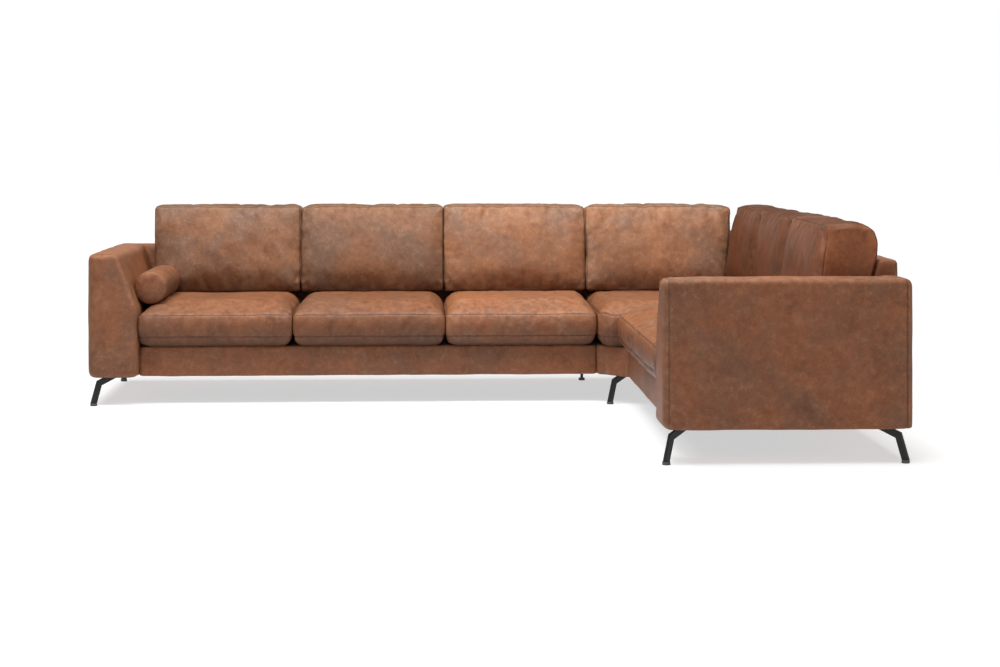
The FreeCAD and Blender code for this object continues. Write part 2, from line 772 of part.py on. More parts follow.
def drilled(solids):
    """The timbers or cloth with a hole wherever a screw passes."""
    drilled_solids = []
    for solid in solids:
        limits = solid.BoundBox
        for x, y in screw_places():
            if limits.XMin < x < limits.XMax and limits.YMin < y < limits.YMax:
                hole = Part.makeCylinder(SCREW_RADIUS + SCREW_CLEARANCE, SCREW_LENGTH + 1, vec(x, y, UNDERSIDE))
                solid = solid.cut(hole)
        drilled_solids.append(solid)
    return drilled_solids


# Assembly

def make_nodes():
    """Every node by name, each a list of separate solids."""
    long_x0 = ARM_WIDTH
    nodes = {}
    nodes["left_arm_cover"] = [arm_cover()]
    nodes["left_arm_frame"] = drilled(arm_timbers())
    nodes["return_arm_cover"] = [to_return_arm(nodes["left_arm_cover"][0])]
    nodes["return_arm_frame"] = drilled([to_return_arm(timber) for timber in arm_timbers()])

    nodes["long_back_cover"] = [back_cover(long_x0, SEAM_X)]
    nodes["long_back_frame"] = drilled(back_timbers(long_x0, LONG_SEATS))
    nodes["return_back_cover"] = [to_return(back_cover(0, RETURN_RUN))]
    nodes["return_back_frame"] = drilled([to_return(timber) for timber in back_timbers(0, RETURN_SEATS)])
    nodes["corner_rear_back_cover"] = [corner_back_cover()]
    nodes["corner_side_back_cover"] = [across_corner(nodes["corner_rear_back_cover"][0])]
    rear_timbers = corner_back_timbers()
    side_timbers = [across_corner(timber) for timber in rear_timbers]
    nodes["corner_back_frame"] = drilled(rear_timbers + side_timbers)

    nodes["long_front_rail"] = [front_rail(long_x0, SEAM_X)]
    nodes["corner_front_rail"] = [corner_rail()]
    nodes["return_front_rail"] = [to_return(front_rail(0, RETURN_RUN))]
    nodes["long_base_frame"] = drilled(base_frame(long_x0, LONG_SEATS))
    nodes["return_base_frame"] = drilled([to_return(timber) for timber in base_frame(0, RETURN_SEATS)])
    nodes["corner_base_frame"] = drilled(corner_base_frame())
    nodes["long_seat_deck"] = [run_sheet(long_x0, SEAM_X, DECK_BASE, DECK_TOP)]
    nodes["corner_seat_deck"] = [corner_sheet(DECK_BASE, DECK_TOP)]
    nodes["return_seat_deck"] = [to_return(run_sheet(0, RETURN_RUN, DECK_BASE, DECK_TOP))]
    nodes["long_dust_cover"] = drilled([run_sheet(long_x0, SEAM_X, UNDERSIDE, FRAME_BASE)])
    nodes["corner_dust_cover"] = drilled([corner_sheet(UNDERSIDE, FRAME_BASE)])
    nodes["return_dust_cover"] = drilled([to_return(run_sheet(0, RETURN_RUN, UNDERSIDE, FRAME_BASE))])

    front_bar = RAIL_BACK + BEAM_WIDTH / 2
    rear_bar = BACK_FOOT - BEAM_WIDTH / 2
    corner_bar = SEAM_Y + BEAM_WIDTH / 2
    springs, clips = springs_and_clips(run_spring_places(long_x0, LONG_SEATS), front_bar, rear_bar)
    nodes["long_seat_springs"] = springs
    nodes["spring_clips"] = clips
    springs, clips = springs_and_clips(run_spring_places(0, RETURN_SEATS), front_bar, rear_bar)
    nodes["return_seat_springs"] = [to_return(spring) for spring in springs]
    nodes["spring_clips"] += [to_return(clip) for clip in clips]
    springs, clips = springs_and_clips(corner_spring_places(), corner_bar, rear_bar)
    nodes["corner_seat_springs"] = springs
    nodes["spring_clips"] += clips
    nodes["long_spring_felt"] = [felt(long_x0, SEAM_X, front_bar, rear_bar)]
    nodes["return_spring_felt"] = [to_return(felt(0, RETURN_RUN, front_bar, rear_bar))]
    felt_x0 = corner_spring_places()[0] - CORNER_SPRING_MARGIN
    nodes["corner_spring_felt"] = [felt(felt_x0, RETURN_X + REAR_BEAM, corner_bar, rear_bar)]

    seat_pattern = seat_cushion()
    back_pattern = back_cushion()
    for seat in range(LONG_SEATS):
        along = vec(long_x0 + seat * SEAT_PITCH, 0)
        nodes["seat_cushion_long_%d" % (seat + 1)] = [seat_pattern.translated(along)]
        nodes["back_cushion_long_%d" % (seat + 1)] = [back_pattern.translated(along)]
    nodes["seat_cushion_corner"] = [corner_seat_cushion()]
    nodes["back_cushion_corner_rear"] = [back_pattern.translated(vec(SEAM_X, 0))]
    nodes["back_cushion_corner_side"] = [to_return(back_pattern.translated(vec(-SEAT_PITCH, 0)))]
    for seat in range(RETURN_SEATS):
        along = vec(seat * SEAT_PITCH, 0)
        nodes["seat_cushion_return_%d" % (seat + 1)] = [to_return(seat_pattern.translated(along))]
        nodes["back_cushion_return_%d" % (seat + 1)] = [to_return(back_pattern.translated(along))]
    nodes["bolster"] = [bolster(nodes["seat_cushion_long_1"][0])]

    nodes["leg_glides"] = []
    for name, x, y, turn in leg_places():
        nodes[name] = [at_foot(leg(), x, y, turn)]
        nodes["leg_glides"].append(glide().translated(vec(x, y)))
        if name == "leg_inner_corner":
            nodes["leg_block"] = drilled([at_foot(inner_leg_block(), x, y, turn)])
    nodes["joining_plates"] = []
    for x, y, turn, holes in joining_plate_places():
        nodes["joining_plates"].append(at_foot(joining_plate(holes), x, y, turn))
    nodes["plate_screws"] = [screw(x, y) for x, y in screw_places()]
    return nodes


def main():
    """Write each node to its own file, with the origin moved to the middle of the sofa's footprint."""
    os.makedirs("parts", exist_ok=True)
    middle = vec(-WIDTH / 2, -(DEPTH + REACH_Y) / 2)
    for name, solids in make_nodes().items():
        shape = solids[0] if len(solids) == 1 else Part.makeCompound(solids)
        shape.translate(middle)
        shape.exportStep("parts/%s.step" % name)


main()
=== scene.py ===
# %% [markdown]
# # A leather corner sofa
#
# The construction of this sofa is already made: every board, spring, leg and cushion has its real size
# and place. This lesson gives it its skin. The body is upholstered in brown aniline leather, the seats and
# backs are loose stuffed cushions, and it stands on bent bars of black steel.

# %% Load the construction
import json
import math

import bmesh
import bpy
import numpy as np
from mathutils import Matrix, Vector


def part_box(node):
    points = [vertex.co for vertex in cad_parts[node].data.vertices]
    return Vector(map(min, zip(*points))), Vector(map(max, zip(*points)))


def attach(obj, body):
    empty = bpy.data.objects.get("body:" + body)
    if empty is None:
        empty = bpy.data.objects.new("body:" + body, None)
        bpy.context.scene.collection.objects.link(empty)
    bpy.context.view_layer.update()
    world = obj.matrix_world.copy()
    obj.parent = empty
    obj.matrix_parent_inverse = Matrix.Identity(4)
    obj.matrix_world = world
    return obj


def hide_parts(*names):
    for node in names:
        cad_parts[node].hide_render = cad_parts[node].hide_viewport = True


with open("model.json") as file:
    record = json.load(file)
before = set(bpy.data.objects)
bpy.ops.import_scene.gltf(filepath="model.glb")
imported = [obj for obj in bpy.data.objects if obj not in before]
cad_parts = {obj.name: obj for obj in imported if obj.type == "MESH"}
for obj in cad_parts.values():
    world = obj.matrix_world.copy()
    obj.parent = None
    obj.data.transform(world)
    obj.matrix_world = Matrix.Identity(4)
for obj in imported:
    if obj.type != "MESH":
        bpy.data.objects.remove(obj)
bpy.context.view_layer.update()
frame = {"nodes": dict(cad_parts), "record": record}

scene = bpy.context.scene

# %% [markdown]
# ## The camera
#
# The picture was taken from in front of the long run, about as high as a standing child's eyes, with a
# level camera whose lens was shifted down. A level camera keeps the arm's vertical edges vertical, so
# the height of the picture is set with the shift and not by tilting the camera.

# %% Camera
CAMERA_PLACE = (-0.177, -8.434, 1.209)
CAMERA_TURN = 0.0454
FOCAL_WIDTHS = 1.9225
LENS_SHIFT = (-0.005, -0.193)

camera_data = bpy.data.cameras.new("camera")
camera_data.sensor_width = 36.0
camera_data.lens = FOCAL_WIDTHS * camera_data.sensor_width
camera_data.shift_x, camera_data.shift_y = LENS_SHIFT
camera_data.clip_end = 200.0
camera = bpy.data.objects.new("camera", camera_data)
camera.location = CAMERA_PLACE
camera.rotation_euler = (math.pi / 2, 0.0, -CAMERA_TURN)
scene.collection.objects.link(camera)
scene.camera = camera
scene.view_settings.view_transform = "Standard"
print("lens of", round(camera_data.lens, 1), "mm")

# %% [markdown]
# ## Floor and light
#
# The studio is white: a pale floor that glows a little, a bright horizon and a dim ceiling. A sun lamp
# with a wide disc lights the floor evenly as far as the horizon, where a near lamp would leave it grey. A
# wide panel over the seats gives the cushions light tops and darker fronts, and a weaker one in front lifts
# the sides that face the camera.

# %% Floor
FLOOR_HALF = 60.0
floor_mesh = bpy.data.meshes.new("floor")
floor_corners = [(-FLOOR_HALF, -FLOOR_HALF, 0), (FLOOR_HALF, -FLOOR_HALF, 0),
                 (FLOOR_HALF, FLOOR_HALF, 0), (-FLOOR_HALF, FLOOR_HALF, 0)]
floor_mesh.from_pydata(floor_corners, [], [(0, 1, 2, 3)])
floor = bpy.data.objects.new("floor", floor_mesh)
scene.collection.objects.link(floor)


# %% Lamps
def lamp(name, kind, place, target, power, size):
    data = bpy.data.lights.new(name, kind)
    data.energy = power
    if kind == "SUN":
        data.angle = size
    else:
        data.shape = "RECTANGLE"
        data.size, data.size_y = size
    thing = bpy.data.objects.new(name, data)
    thing.location = place
    thing.rotation_euler = (Vector(target) - thing.location).to_track_quat("-Z", "Y").to_euler()
    scene.collection.objects.link(thing)


SOFA_MIDDLE = (0.0, 0.3, 0.4)
SEATS_MIDDLE = (-0.2, 0.9, 0.5)
lamp("high_key", "SUN", (-0.8, -0.6, 8.0), SOFA_MIDDLE, 2.6, math.radians(40))
lamp("over_the_seats", "AREA", (-0.2, -0.35, 2.6), SEATS_MIDDLE, 95.0, (3.6, 1.1))
lamp("front_panel", "AREA", (-1.6, -4.6, 3.2), SOFA_MIDDLE, 22.0, (3.0, 0.8))

# The world fades from the horizon to the ceiling between these two heights of the line of sight.
FADE_FROM = 0.12
FADE_TO = 0.30


def white_room(horizon, ceiling):
    """A world that is white at the horizon and dimmer overhead, so that tops are lit by the lamps."""
    world = bpy.data.worlds.new("studio")
    world.use_nodes = True
    nodes, links = world.node_tree.nodes, world.node_tree.links
    direction = nodes.new("ShaderNodeTexCoord")
    parts = nodes.new("ShaderNodeSeparateXYZ")
    fade = nodes.new("ShaderNodeMapRange")
    fade.interpolation_type = "SMOOTHSTEP"
    fade.inputs["From Min"].default_value = FADE_FROM
    fade.inputs["From Max"].default_value = FADE_TO
    fade.inputs["To Min"].default_value = horizon
    fade.inputs["To Max"].default_value = ceiling
    links.new(direction.outputs["Generated"], parts.inputs[0])
    links.new(parts.outputs["Z"], fade.inputs["Value"])
    links.new(fade.outputs["Result"], nodes["Background"].inputs["Strength"])
    nodes["Background"].inputs["Color"].default_value = (1.0, 1.0, 1.0, 1.0)
    return world


scene.world = white_room(1.0, 0.10)
print("three lamps and a white room")

# %% [markdown]
# ## Shader maths as plain expressions
#
# A finish is a graph of nodes. Written out, each sum takes four lines, so one small class wraps an output
# socket and lets Python's own signs add the Math nodes: `1 - mask` is then a real node. Every other node
# comes from one method, which sets the node's settings first and then its sockets.

# %% Wires and finishes
class Wire:
    """An output socket that Python's signs can work with."""

    def __init__(self, finish, socket):
        self.finish = finish
        self.socket = socket

    def sum_with(self, operation, first, second):
        return self.finish.node("ShaderNodeMath", {"operation": operation}, {0: first, 1: second})

    def __add__(self, other):
        return self.sum_with("ADD", self, other)

    def __radd__(self, other):
        return self.sum_with("ADD", other, self)

    def __sub__(self, other):
        return self.sum_with("SUBTRACT", self, other)

    def __rsub__(self, other):
        return self.sum_with("SUBTRACT", other, self)

    def __mul__(self, other):
        return self.sum_with("MULTIPLY", self, other)

    def __rmul__(self, other):
        return self.sum_with("MULTIPLY", other, self)


class Finish:
    """A material being made."""

    def __init__(self, name):
        self.material = bpy.data.materials.new(name)
        self.material.use_nodes = True
        self.tree = self.material.node_tree
        self.tree.nodes.clear()

    def node(self, kind, settings=None, inputs=None, output=0):
        made = self.tree.nodes.new(kind)
        for key, value in (settings or {}).items():
            if key == "stops":
                set_stops(made.color_ramp, value)
            else:
                setattr(made, key, value)
        for key, value in (inputs or {}).items():
            if isinstance(value, Wire):
                self.tree.links.new(value.socket, made.inputs[key])
            else:
                made.inputs[key].default_value = value
        return Wire(self, made.outputs[output])

    def surface(self, **inputs):
        """The finish's one shader: constants go straight onto its sockets."""
        named = {key.replace("_", " "): value for key, value in inputs.items()}
        shader = self.node("ShaderNodeBsdfPrincipled", {}, named)
        out = self.tree.nodes.new("ShaderNodeOutputMaterial")
        self.tree.links.new(shader.socket, out.inputs["Surface"])
        return self.material


def set_stops(ramp, stops):
    while len(ramp.elements) < len(stops):
        ramp.elements.new(1.0)
    for element, (place, colour) in zip(ramp.elements, stops):
        element.position = place
        element.color = (*colour, 1.0)


# %% Patterns that the finishes share
def noise(finish, place, size, detail=3.0, roughness=0.55, distortion=0.0):
    """Cloudy noise from 0 to 1 whose clouds are about size metres across."""
    return finish.node("ShaderNodeTexNoise", {"noise_dimensions": "3D"}, {
        "Vector": place, "Scale": 1.0 / size, "Detail": detail,
        "Roughness": roughness, "Distortion": distortion})


def spread(finish, value, low, high):
    """0 below low, 1 above high, smooth between."""
    return finish.node("ShaderNodeMapRange", {"interpolation_type": "SMOOTHSTEP"}, {
        "Value": value, "From Min": low, "From Max": high, "To Min": 0.0, "To Max": 1.0})


def mix(finish, factor, first, second):
    settings = {"data_type": "RGBA", "blend_type": "MIX", "clamp_factor": True}
    return finish.node("ShaderNodeMix", settings, {0: factor, 6: first, 7: second}, output=2)


def bump(finish, height, depth, below=None):
    inputs = {"Height": height, "Distance": depth, "Strength": 1.0}
    if below is not None:
        inputs["Normal"] = below
    return finish.node("ShaderNodeBump", {}, inputs)


# %% [markdown]
# ## The leather
#
# The hide is a vintage brown: reddish brown under a greyer film, rubbed lighter where hands and light
# reach it, with small pale flecks all over. Three sizes of cloud do this. The largest, as wide as a
# hand's span, moves between grey brown and red brown. The next gives the rubbed tan patches, and the
# finest the flecks. The grain is a bump of small cells that shows only close by.
#
# Each panel was cut from another place of the hide, so the pattern follows a "hide" vector kept on the mesh
# and not the sofa's own coordinates. Three more values are kept there: how worn a point is, with painted
# highlights on tops and beside seams added to the wear, how far it is from a seam, and its tone, which is a
# colour that the leather is multiplied by. The tone is painted light and shade: each piece has its own, set
# lighter where the piece faces the light and darker where it faces away, tops are painted lighter, and
# painted shade darkens it where a cushion tucks under.

# %% Leather
GREY_BROWN = (0.150, 0.068, 0.040, 1.0)
RED_BROWN = (0.215, 0.078, 0.034, 1.0)
RUBBED_TAN = (0.340, 0.155, 0.076, 1.0)
DARK_BROWN = (0.080, 0.030, 0.015, 1.0)
# A pale tan for flecks, for real rubbing and for painted highlights.
WORN_EDGE_AND_HIGHLIGHT = (0.370, 0.180, 0.092, 1.0)
CREASE_BROWN = (0.040, 0.015, 0.008, 1.0)
GRAIN_CELLS_PER_METRE = 420.0


def leather(name, warmth):
    """Mottled brown leather. Warmth from 0 to 1 shifts it from the grey film to the red brown."""
    finish = Finish(name)
    hide = finish.node("ShaderNodeAttribute", {"attribute_name": "hide"}, output=1)
    worn = finish.node("ShaderNodeAttribute", {"attribute_name": "worn"}, output=2)
    from_seam = finish.node("ShaderNodeAttribute", {"attribute_name": "from_seam"}, output=2)
    tone = finish.node("ShaderNodeAttribute", {"attribute_name": "tone"}, output=1)
    clouds = noise(finish, hide, 0.24, 3.0, 0.50, 0.4)
    patches = noise(finish, hide, 0.085, 4.0, 0.60, 0.4)
    mottles = noise(finish, hide, 0.028, 5.0, 0.68, 0.3)
    flecks = noise(finish, hide, 0.0075, 4.0, 0.65)
    film = spread(finish, clouds * 0.6 + patches * 0.4, 0.40 + 0.08 * warmth, 0.62 + 0.08 * warmth)
    colour = mix(finish, film, RED_BROWN, GREY_BROWN)
    stained = spread(finish, 1 - mottles * 0.45 - patches * 0.55, 0.47, 0.66)
    colour = mix(finish, stained * 0.50, colour, DARK_BROWN)
    rubbed = spread(finish, patches * 0.45 + mottles * 0.55, 0.49, 0.70)
    colour = mix(finish, rubbed * 0.42, colour, RUBBED_TAN)
    fleck_mask = spread(finish, flecks * 0.75 + mottles * 0.25, 0.52, 0.68)
    colour = mix(finish, fleck_mask * 0.30, colour, WORN_EDGE_AND_HIGHLIGHT)
    # Pale tan where the worn value is high: real wear beside the seams, and a painted highlight on tops and
    # top edges.
    colour = mix(finish, worn * spread(finish, mottles, 0.30, 0.65), colour, WORN_EDGE_AND_HIGHLIGHT)
    colour = mix(finish, 0.50 - 0.50 * spread(finish, from_seam, 0.0015, 0.0050), colour, CREASE_BROWN)
    # The tone multiplies in painted light and shade, set piece by piece and darker where shade falls.
    colour = finish.node("ShaderNodeVectorMath", {"operation": "MULTIPLY"}, {0: colour, 1: tone})
    cells = finish.node("ShaderNodeTexVoronoi", {"feature": "DISTANCE_TO_EDGE"}, {
        "Vector": hide, "Scale": GRAIN_CELLS_PER_METRE})
    grain = finish.node("ShaderNodeMath", {"operation": "MINIMUM"}, {0: cells, 1: 0.12})
    creases = noise(finish, hide, 0.040, 6.0, 0.70, 1.0)
    normal = bump(finish, creases, 0.0025)
    normal = bump(finish, grain, 0.0018, normal)
    return finish.surface(
        Base_Color=colour,
        Roughness=0.40 + mottles * 0.14 + film * 0.06,
        Normal=normal,
        Specular_IOR_Level=0.25,
    )


# What each group of pieces is tinted by: red, green and blue. The backs' two tints are lit and shaded copies
# of one colour, painted light and shade: backs that face the light get the lit one and backs that face away
# get the shaded one.
BODY_TINT = (1.00, 0.95, 0.87)
SEAT_TINT = (1.00, 0.96, 0.89)
LIT_BACK_TINT = (0.90, 1.06, 1.15)
SHADED_TINT = (1.00, 0.86, 0.72)

leathers = {
    "body_leather": leather("body_leather", 0.15),
    "seat_leather": leather("seat_leather", 0.55),
    "back_leather": leather("back_leather", 0.25),
    "bolster_leather": leather("bolster_leather", 0.45),
}
print(len(leathers), "leathers")


# %% [markdown]
# ## The other finishes
#
# The legs are steel bars with a black powder coat, which is slightly pebbled. Below and inside are cloth,
# felt, bare timber and spring steel. They show only from below or with a cushion lifted, but a part
# that may be taken apart is finished all over.

# %% Metal, plastic, cloth, felt and timber
def own_place(finish):
    return finish.node("ShaderNodeTexCoord", output=3)


def powder_coat():
    finish = Finish("black_steel")
    place = own_place(finish)
    pebbles = noise(finish, place, 0.0011, 2.0)
    clouds = noise(finish, place, 0.03, 3.0)
    colour = mix(finish, clouds, (0.0045, 0.0045, 0.005, 1), (0.011, 0.011, 0.012, 1))
    return finish.surface(Base_Color=colour, Roughness=0.38 + clouds * 0.12, Metallic=0.0,
                          Normal=bump(finish, pebbles, 0.0003), Specular_IOR_Level=0.35)


def bright_steel(name, dark, light):
    finish = Finish(name)
    stretched = finish.node("ShaderNodeMapping", {}, {
        "Vector": own_place(finish), "Scale": (40.0, 400.0, 400.0)})
    lines = finish.node("ShaderNodeTexNoise", {}, {"Vector": stretched, "Scale": 1.0, "Detail": 3.0})
    colour = mix(finish, lines, dark, light)
    return finish.surface(Base_Color=colour, Roughness=0.24 + lines * 0.2, Metallic=1.0)


def moulded_plastic():
    finish = Finish("glide_plastic")
    scuffs = noise(finish, own_place(finish), 0.004, 4.0, 0.7)
    colour = mix(finish, scuffs, (0.035, 0.036, 0.038, 1), (0.075, 0.076, 0.08, 1))
    return finish.surface(Base_Color=colour, Roughness=0.45 + scuffs * 0.2,
                          Normal=bump(finish, scuffs, 0.0002))


def woven(name, dark, light, pitch):
    finish = Finish(name)
    place = own_place(finish)
    threads = []
    for direction in ("X", "Y"):
        settings = {"wave_type": "BANDS", "bands_direction": direction}
        threads.append(finish.node("ShaderNodeTexWave", settings, {
            "Vector": place, "Scale": 0.3 / pitch, "Distortion": 0.6, "Detail": 1.0}, output=1))
    weave = threads[0] * threads[1]
    lint = noise(finish, place, 0.02, 4.0)
    return finish.surface(Base_Color=mix(finish, weave * 0.6 + lint * 0.4, dark, light), Roughness=0.9,
                          Normal=bump(finish, weave, 0.0004), Sheen_Weight=0.15)


def pressed_felt():
    finish = Finish("felt")
    place = own_place(finish)
    fibres = noise(finish, place, 0.0018, 6.0, 0.8, 2.0)
    clouds = noise(finish, place, 0.05, 3.0)
    colour = mix(finish, fibres * 0.6 + clouds * 0.4, (0.22, 0.21, 0.19, 1), (0.52, 0.50, 0.47, 1))
    return finish.surface(Base_Color=colour, Roughness=0.95, Normal=bump(finish, fibres, 0.001))


def pale_timber():
    finish = Finish("timber")
    place = finish.node("ShaderNodeMapping", {}, {"Vector": own_place(finish), "Scale": (3.0, 3.0, 26.0)})
    rings = finish.node("ShaderNodeTexNoise", {}, {
        "Vector": place, "Scale": 2.2, "Detail": 5.0, "Roughness": 0.6, "Distortion": 0.7})
    pores = noise(finish, own_place(finish), 0.002, 3.0)
    colour = mix(finish, rings, (0.40, 0.24, 0.12, 1), (0.70, 0.50, 0.31, 1))
    return finish.surface(Base_Color=colour, Roughness=0.55 + pores * 0.2,
                          Normal=bump(finish, rings, 0.0006))


finishes = {
    "black_steel": powder_coat(),
    "spring_steel": bright_steel("spring_steel", (0.30, 0.30, 0.31, 1), (0.55, 0.55, 0.56, 1)),
    "clip_steel": bright_steel("clip_steel", (0.45, 0.44, 0.42, 1), (0.65, 0.64, 0.61, 1)),
    "screw_steel": bright_steel("screw_steel", (0.48, 0.47, 0.44, 1), (0.72, 0.70, 0.66, 1)),
    "glide_plastic": moulded_plastic(),
    "deck_cloth": woven("deck_cloth", (0.030, 0.018, 0.013, 1), (0.085, 0.055, 0.042, 1), 0.0022),
    "dust_cloth": woven("dust_cloth", (0.010, 0.010, 0.010, 1), (0.045, 0.045, 0.046, 1), 0.0016),
    "felt": pressed_felt(),
    "timber": pale_timber(),
}

for part in frame["record"]["subparts"]:
    if part["material_slot"] in finishes:
        node = frame["nodes"][part["node"]]
        node.data.materials.clear()
        node.data.materials.append(finishes[part["material_slot"]])


def thread_finish():
    finish = Finish("seam_thread")
    twist = noise(finish, own_place(finish), 0.0015, 2.0)
    colour = mix(finish, twist, (0.055, 0.022, 0.011, 1), (0.120, 0.050, 0.026, 1))
    return finish.surface(Base_Color=colour, Roughness=0.75, Normal=bump(finish, twist, 0.0003))


def floor_finish():
    finish = Finish("floor")
    return finish.surface(Base_Color=(0.5, 0.5, 0.5, 1.0), Roughness=0.9, Specular_IOR_Level=0.1,
                          Emission_Color=(1.0, 1.0, 1.0, 1.0), Emission_Strength=0.56)


seam_thread = thread_finish()
floor.data.materials.append(floor_finish())
print(len(finishes), "finishes on the construction")


# %% [markdown]
# ## Working on meshes
#
# Soft pieces all go the same way: a closed form with an even skin of small faces, and then moves of the
# points worked out with numpy. The body's skin comes from a voxel remesh. It forgets sharp creases,
# which suits padding under leather. The cushions' skin is a grid that is laid out row by row.

# %% Helpers for meshes
def add_object(name, mesh):
    piece = bpy.data.objects.new(name, mesh)
    scene.collection.objects.link(piece)
    return piece


def settle(piece):
    """Applies the piece's modifiers to its own mesh."""
    bpy.context.view_layer.update()
    applied = bpy.data.meshes.new_from_object(piece.evaluated_get(bpy.context.evaluated_depsgraph_get()))
    piece.modifiers.clear()
    piece.data = applied


def even_skin(piece, voxel):
    skin = piece.modifiers.new("even skin", "REMESH")
    skin.mode = "VOXEL"
    skin.voxel_size = voxel
    soften = piece.modifiers.new("soften", "SMOOTH")
    soften.iterations = 2
    soften.factor = 0.5
    settle(piece)


def refine(piece):
    finer = piece.modifiers.new("finer", "SUBSURF")
    finer.levels = finer.render_levels = 1
    settle(piece)


def points_of(piece):
    flat = np.empty(len(piece.data.vertices) * 3)
    piece.data.vertices.foreach_get("co", flat)
    return flat.reshape(-1, 3)


def normals_of(piece):
    flat = np.empty(len(piece.data.vertices) * 3, np.float32)
    piece.data.vertex_normals.foreach_get("vector", flat)
    return flat.reshape(-1, 3).astype(float)


def move_to(piece, points):
    piece.data.vertices.foreach_set("co", points.ravel())
    piece.data.update()


def keep_on_mesh(piece, name, values):
    """Keeps a number or a vector for each point, for the finish to read."""
    vectors = values.ndim == 2
    store = piece.data.attributes.new(name, "FLOAT_VECTOR" if vectors else "FLOAT", "POINT")
    store.data.foreach_set("vector" if vectors else "value", values.astype(np.float32).ravel())


def waves(points, size, seed, count=9):
    """Uneven hills and hollows, mostly from -1 to 1 and about size metres from hill to hill."""
    rng = np.random.default_rng(seed)
    directions = rng.normal(size=(count, 3))
    directions /= np.linalg.norm(directions, axis=1, keepdims=True)
    pitches = rng.uniform(0.65, 1.5, count) * 2 * math.pi / size
    turns = rng.uniform(0, 2 * math.pi, count)
    return np.sin(points @ (directions * pitches[:, None]).T + turns).sum(1) / math.sqrt(count)


def cut_from_hide(piece, seed, worn, from_seam, tone, tint):
    """Gives the piece its hide place and tint, and keeps its wear with painted highlights, its seams and its
    painted light and shade.
    """
    offset = np.random.default_rng(seed).uniform(-20, 20, 3)
    keep_on_mesh(piece, "hide", points_of(piece) + offset)
    keep_on_mesh(piece, "worn", worn)
    keep_on_mesh(piece, "from_seam", from_seam)
    keep_on_mesh(piece, "tone", tone[:, None] * np.array(tint))


def dress(piece, body, slot):
    """Puts the slot's leather on the piece, smooths its shading and lets it ride on its body."""
    piece.data.materials.clear()
    piece.data.materials.append(leathers[slot])
    piece.data.polygons.foreach_set("use_smooth", np.ones(len(piece.data.polygons), bool))
    piece.data.update()
    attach(piece, body)


# %% [markdown]
# ## Seams
#
# A plain seam draws the leather down into a narrow groove, and the thread shows as a thin dark line at the
# bottom. On the body the line is found by cutting the finished skin with a plane, and on a cushion it is a
# row of the cover's grid. Either way it follows every swelling and pucker, and it is then given a real
# thickness as a tube.

# %% Seam threads
THREAD_RADIUS = 0.0010


def loops_on_plane(piece, place, normal):
    """The lines where a plane cuts the piece, each a list of points, and whether each is closed."""
    cutter = bmesh.new()
    cutter.from_mesh(piece.data)
    everything = cutter.verts[:] + cutter.edges[:] + cutter.faces[:]
    bmesh.ops.bisect_plane(cutter, geom=everything, plane_co=place, plane_no=normal,
                           clear_inner=True, clear_outer=True)
    cutter.verts.index_update()
    loops = []
    left = set(cutter.verts)
    while left:
        first = min(left, key=lambda v: (len(v.link_edges) != 1, v.index))
        line = [first]
        left.discard(first)
        while True:
            following = [e.other_vert(line[-1]) for e in line[-1].link_edges]
            following = [v for v in following if v in left]
            if not following:
                break
            line.append(following[0])
            left.discard(following[0])
        closed = len(line) > 2 and any(e.other_vert(line[-1]) is first for e in line[-1].link_edges)
        loops.append(([v.co.copy() for v in line], closed))
    cutter.free()
    return loops


def thread(name, points, body):
    """A thread along a closed line of points."""
    curve = bpy.data.curves.new(name, "CURVE")
    curve.dimensions = "3D"
    curve.bevel_depth = THREAD_RADIUS
    curve.bevel_resolution = 1
    curve.resolution_u = 3
    spline = curve.splines.new("NURBS")
    spline.points.add(len(points) - 1)
    for point, target in zip(points, spline.points):
        target.co = (*point, 1.0)
    spline.order_u = 3
    spline.use_cyclic_u = True
    line = bpy.data.objects.new(name, curve)
    scene.collection.objects.link(line)
    mesh = bpy.data.meshes.new_from_object(line)
    bpy.data.objects.remove(line)
    piece = add_object(name, mesh)
    mesh.materials.clear()
    mesh.materials.append(seam_thread)
    mesh.polygons.foreach_set("use_smooth", np.ones(len(mesh.polygons), bool))
    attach(piece, body)


def seam(piece, name, cuts, body):
    """A thread along every line where the planes cut the piece."""
    for number, cut in enumerate(cuts):
        for part, (points, closed) in enumerate(loops_on_plane(piece, *cut)):
            if closed:
                thread("%s_%d_%d" % (name, number + 1, part + 1), np.array(points)[::2], body)


def groove(distance, width):
    """1 on a seam and 0 beyond a few widths."""
    return np.exp(-(distance / width) ** 2)


# %% [markdown]
# ## The upholstered body
#
# The arms, backs and rails are boards under a finger's depth of foam, with leather pulled tight over
# them. Their corners are round and their faces swell a few millimetres between the edges. Each starts
# as a prism with rounded edges, gets an even skin, and then a little swelling and unevenness.

# %% Prisms with rounded edges
BODY_VOXEL = 0.009
BODY_SWELL = 0.004
FOOT_ROUND = 0.006
TOE_ROUND = 0.007
ON_A_PLANE = 1e-5


def round_edges(form, edges, rounding, segments):
    bmesh.ops.bevel(form, geom=edges, offset=rounding, segments=segments, profile=0.5, affect="EDGES")


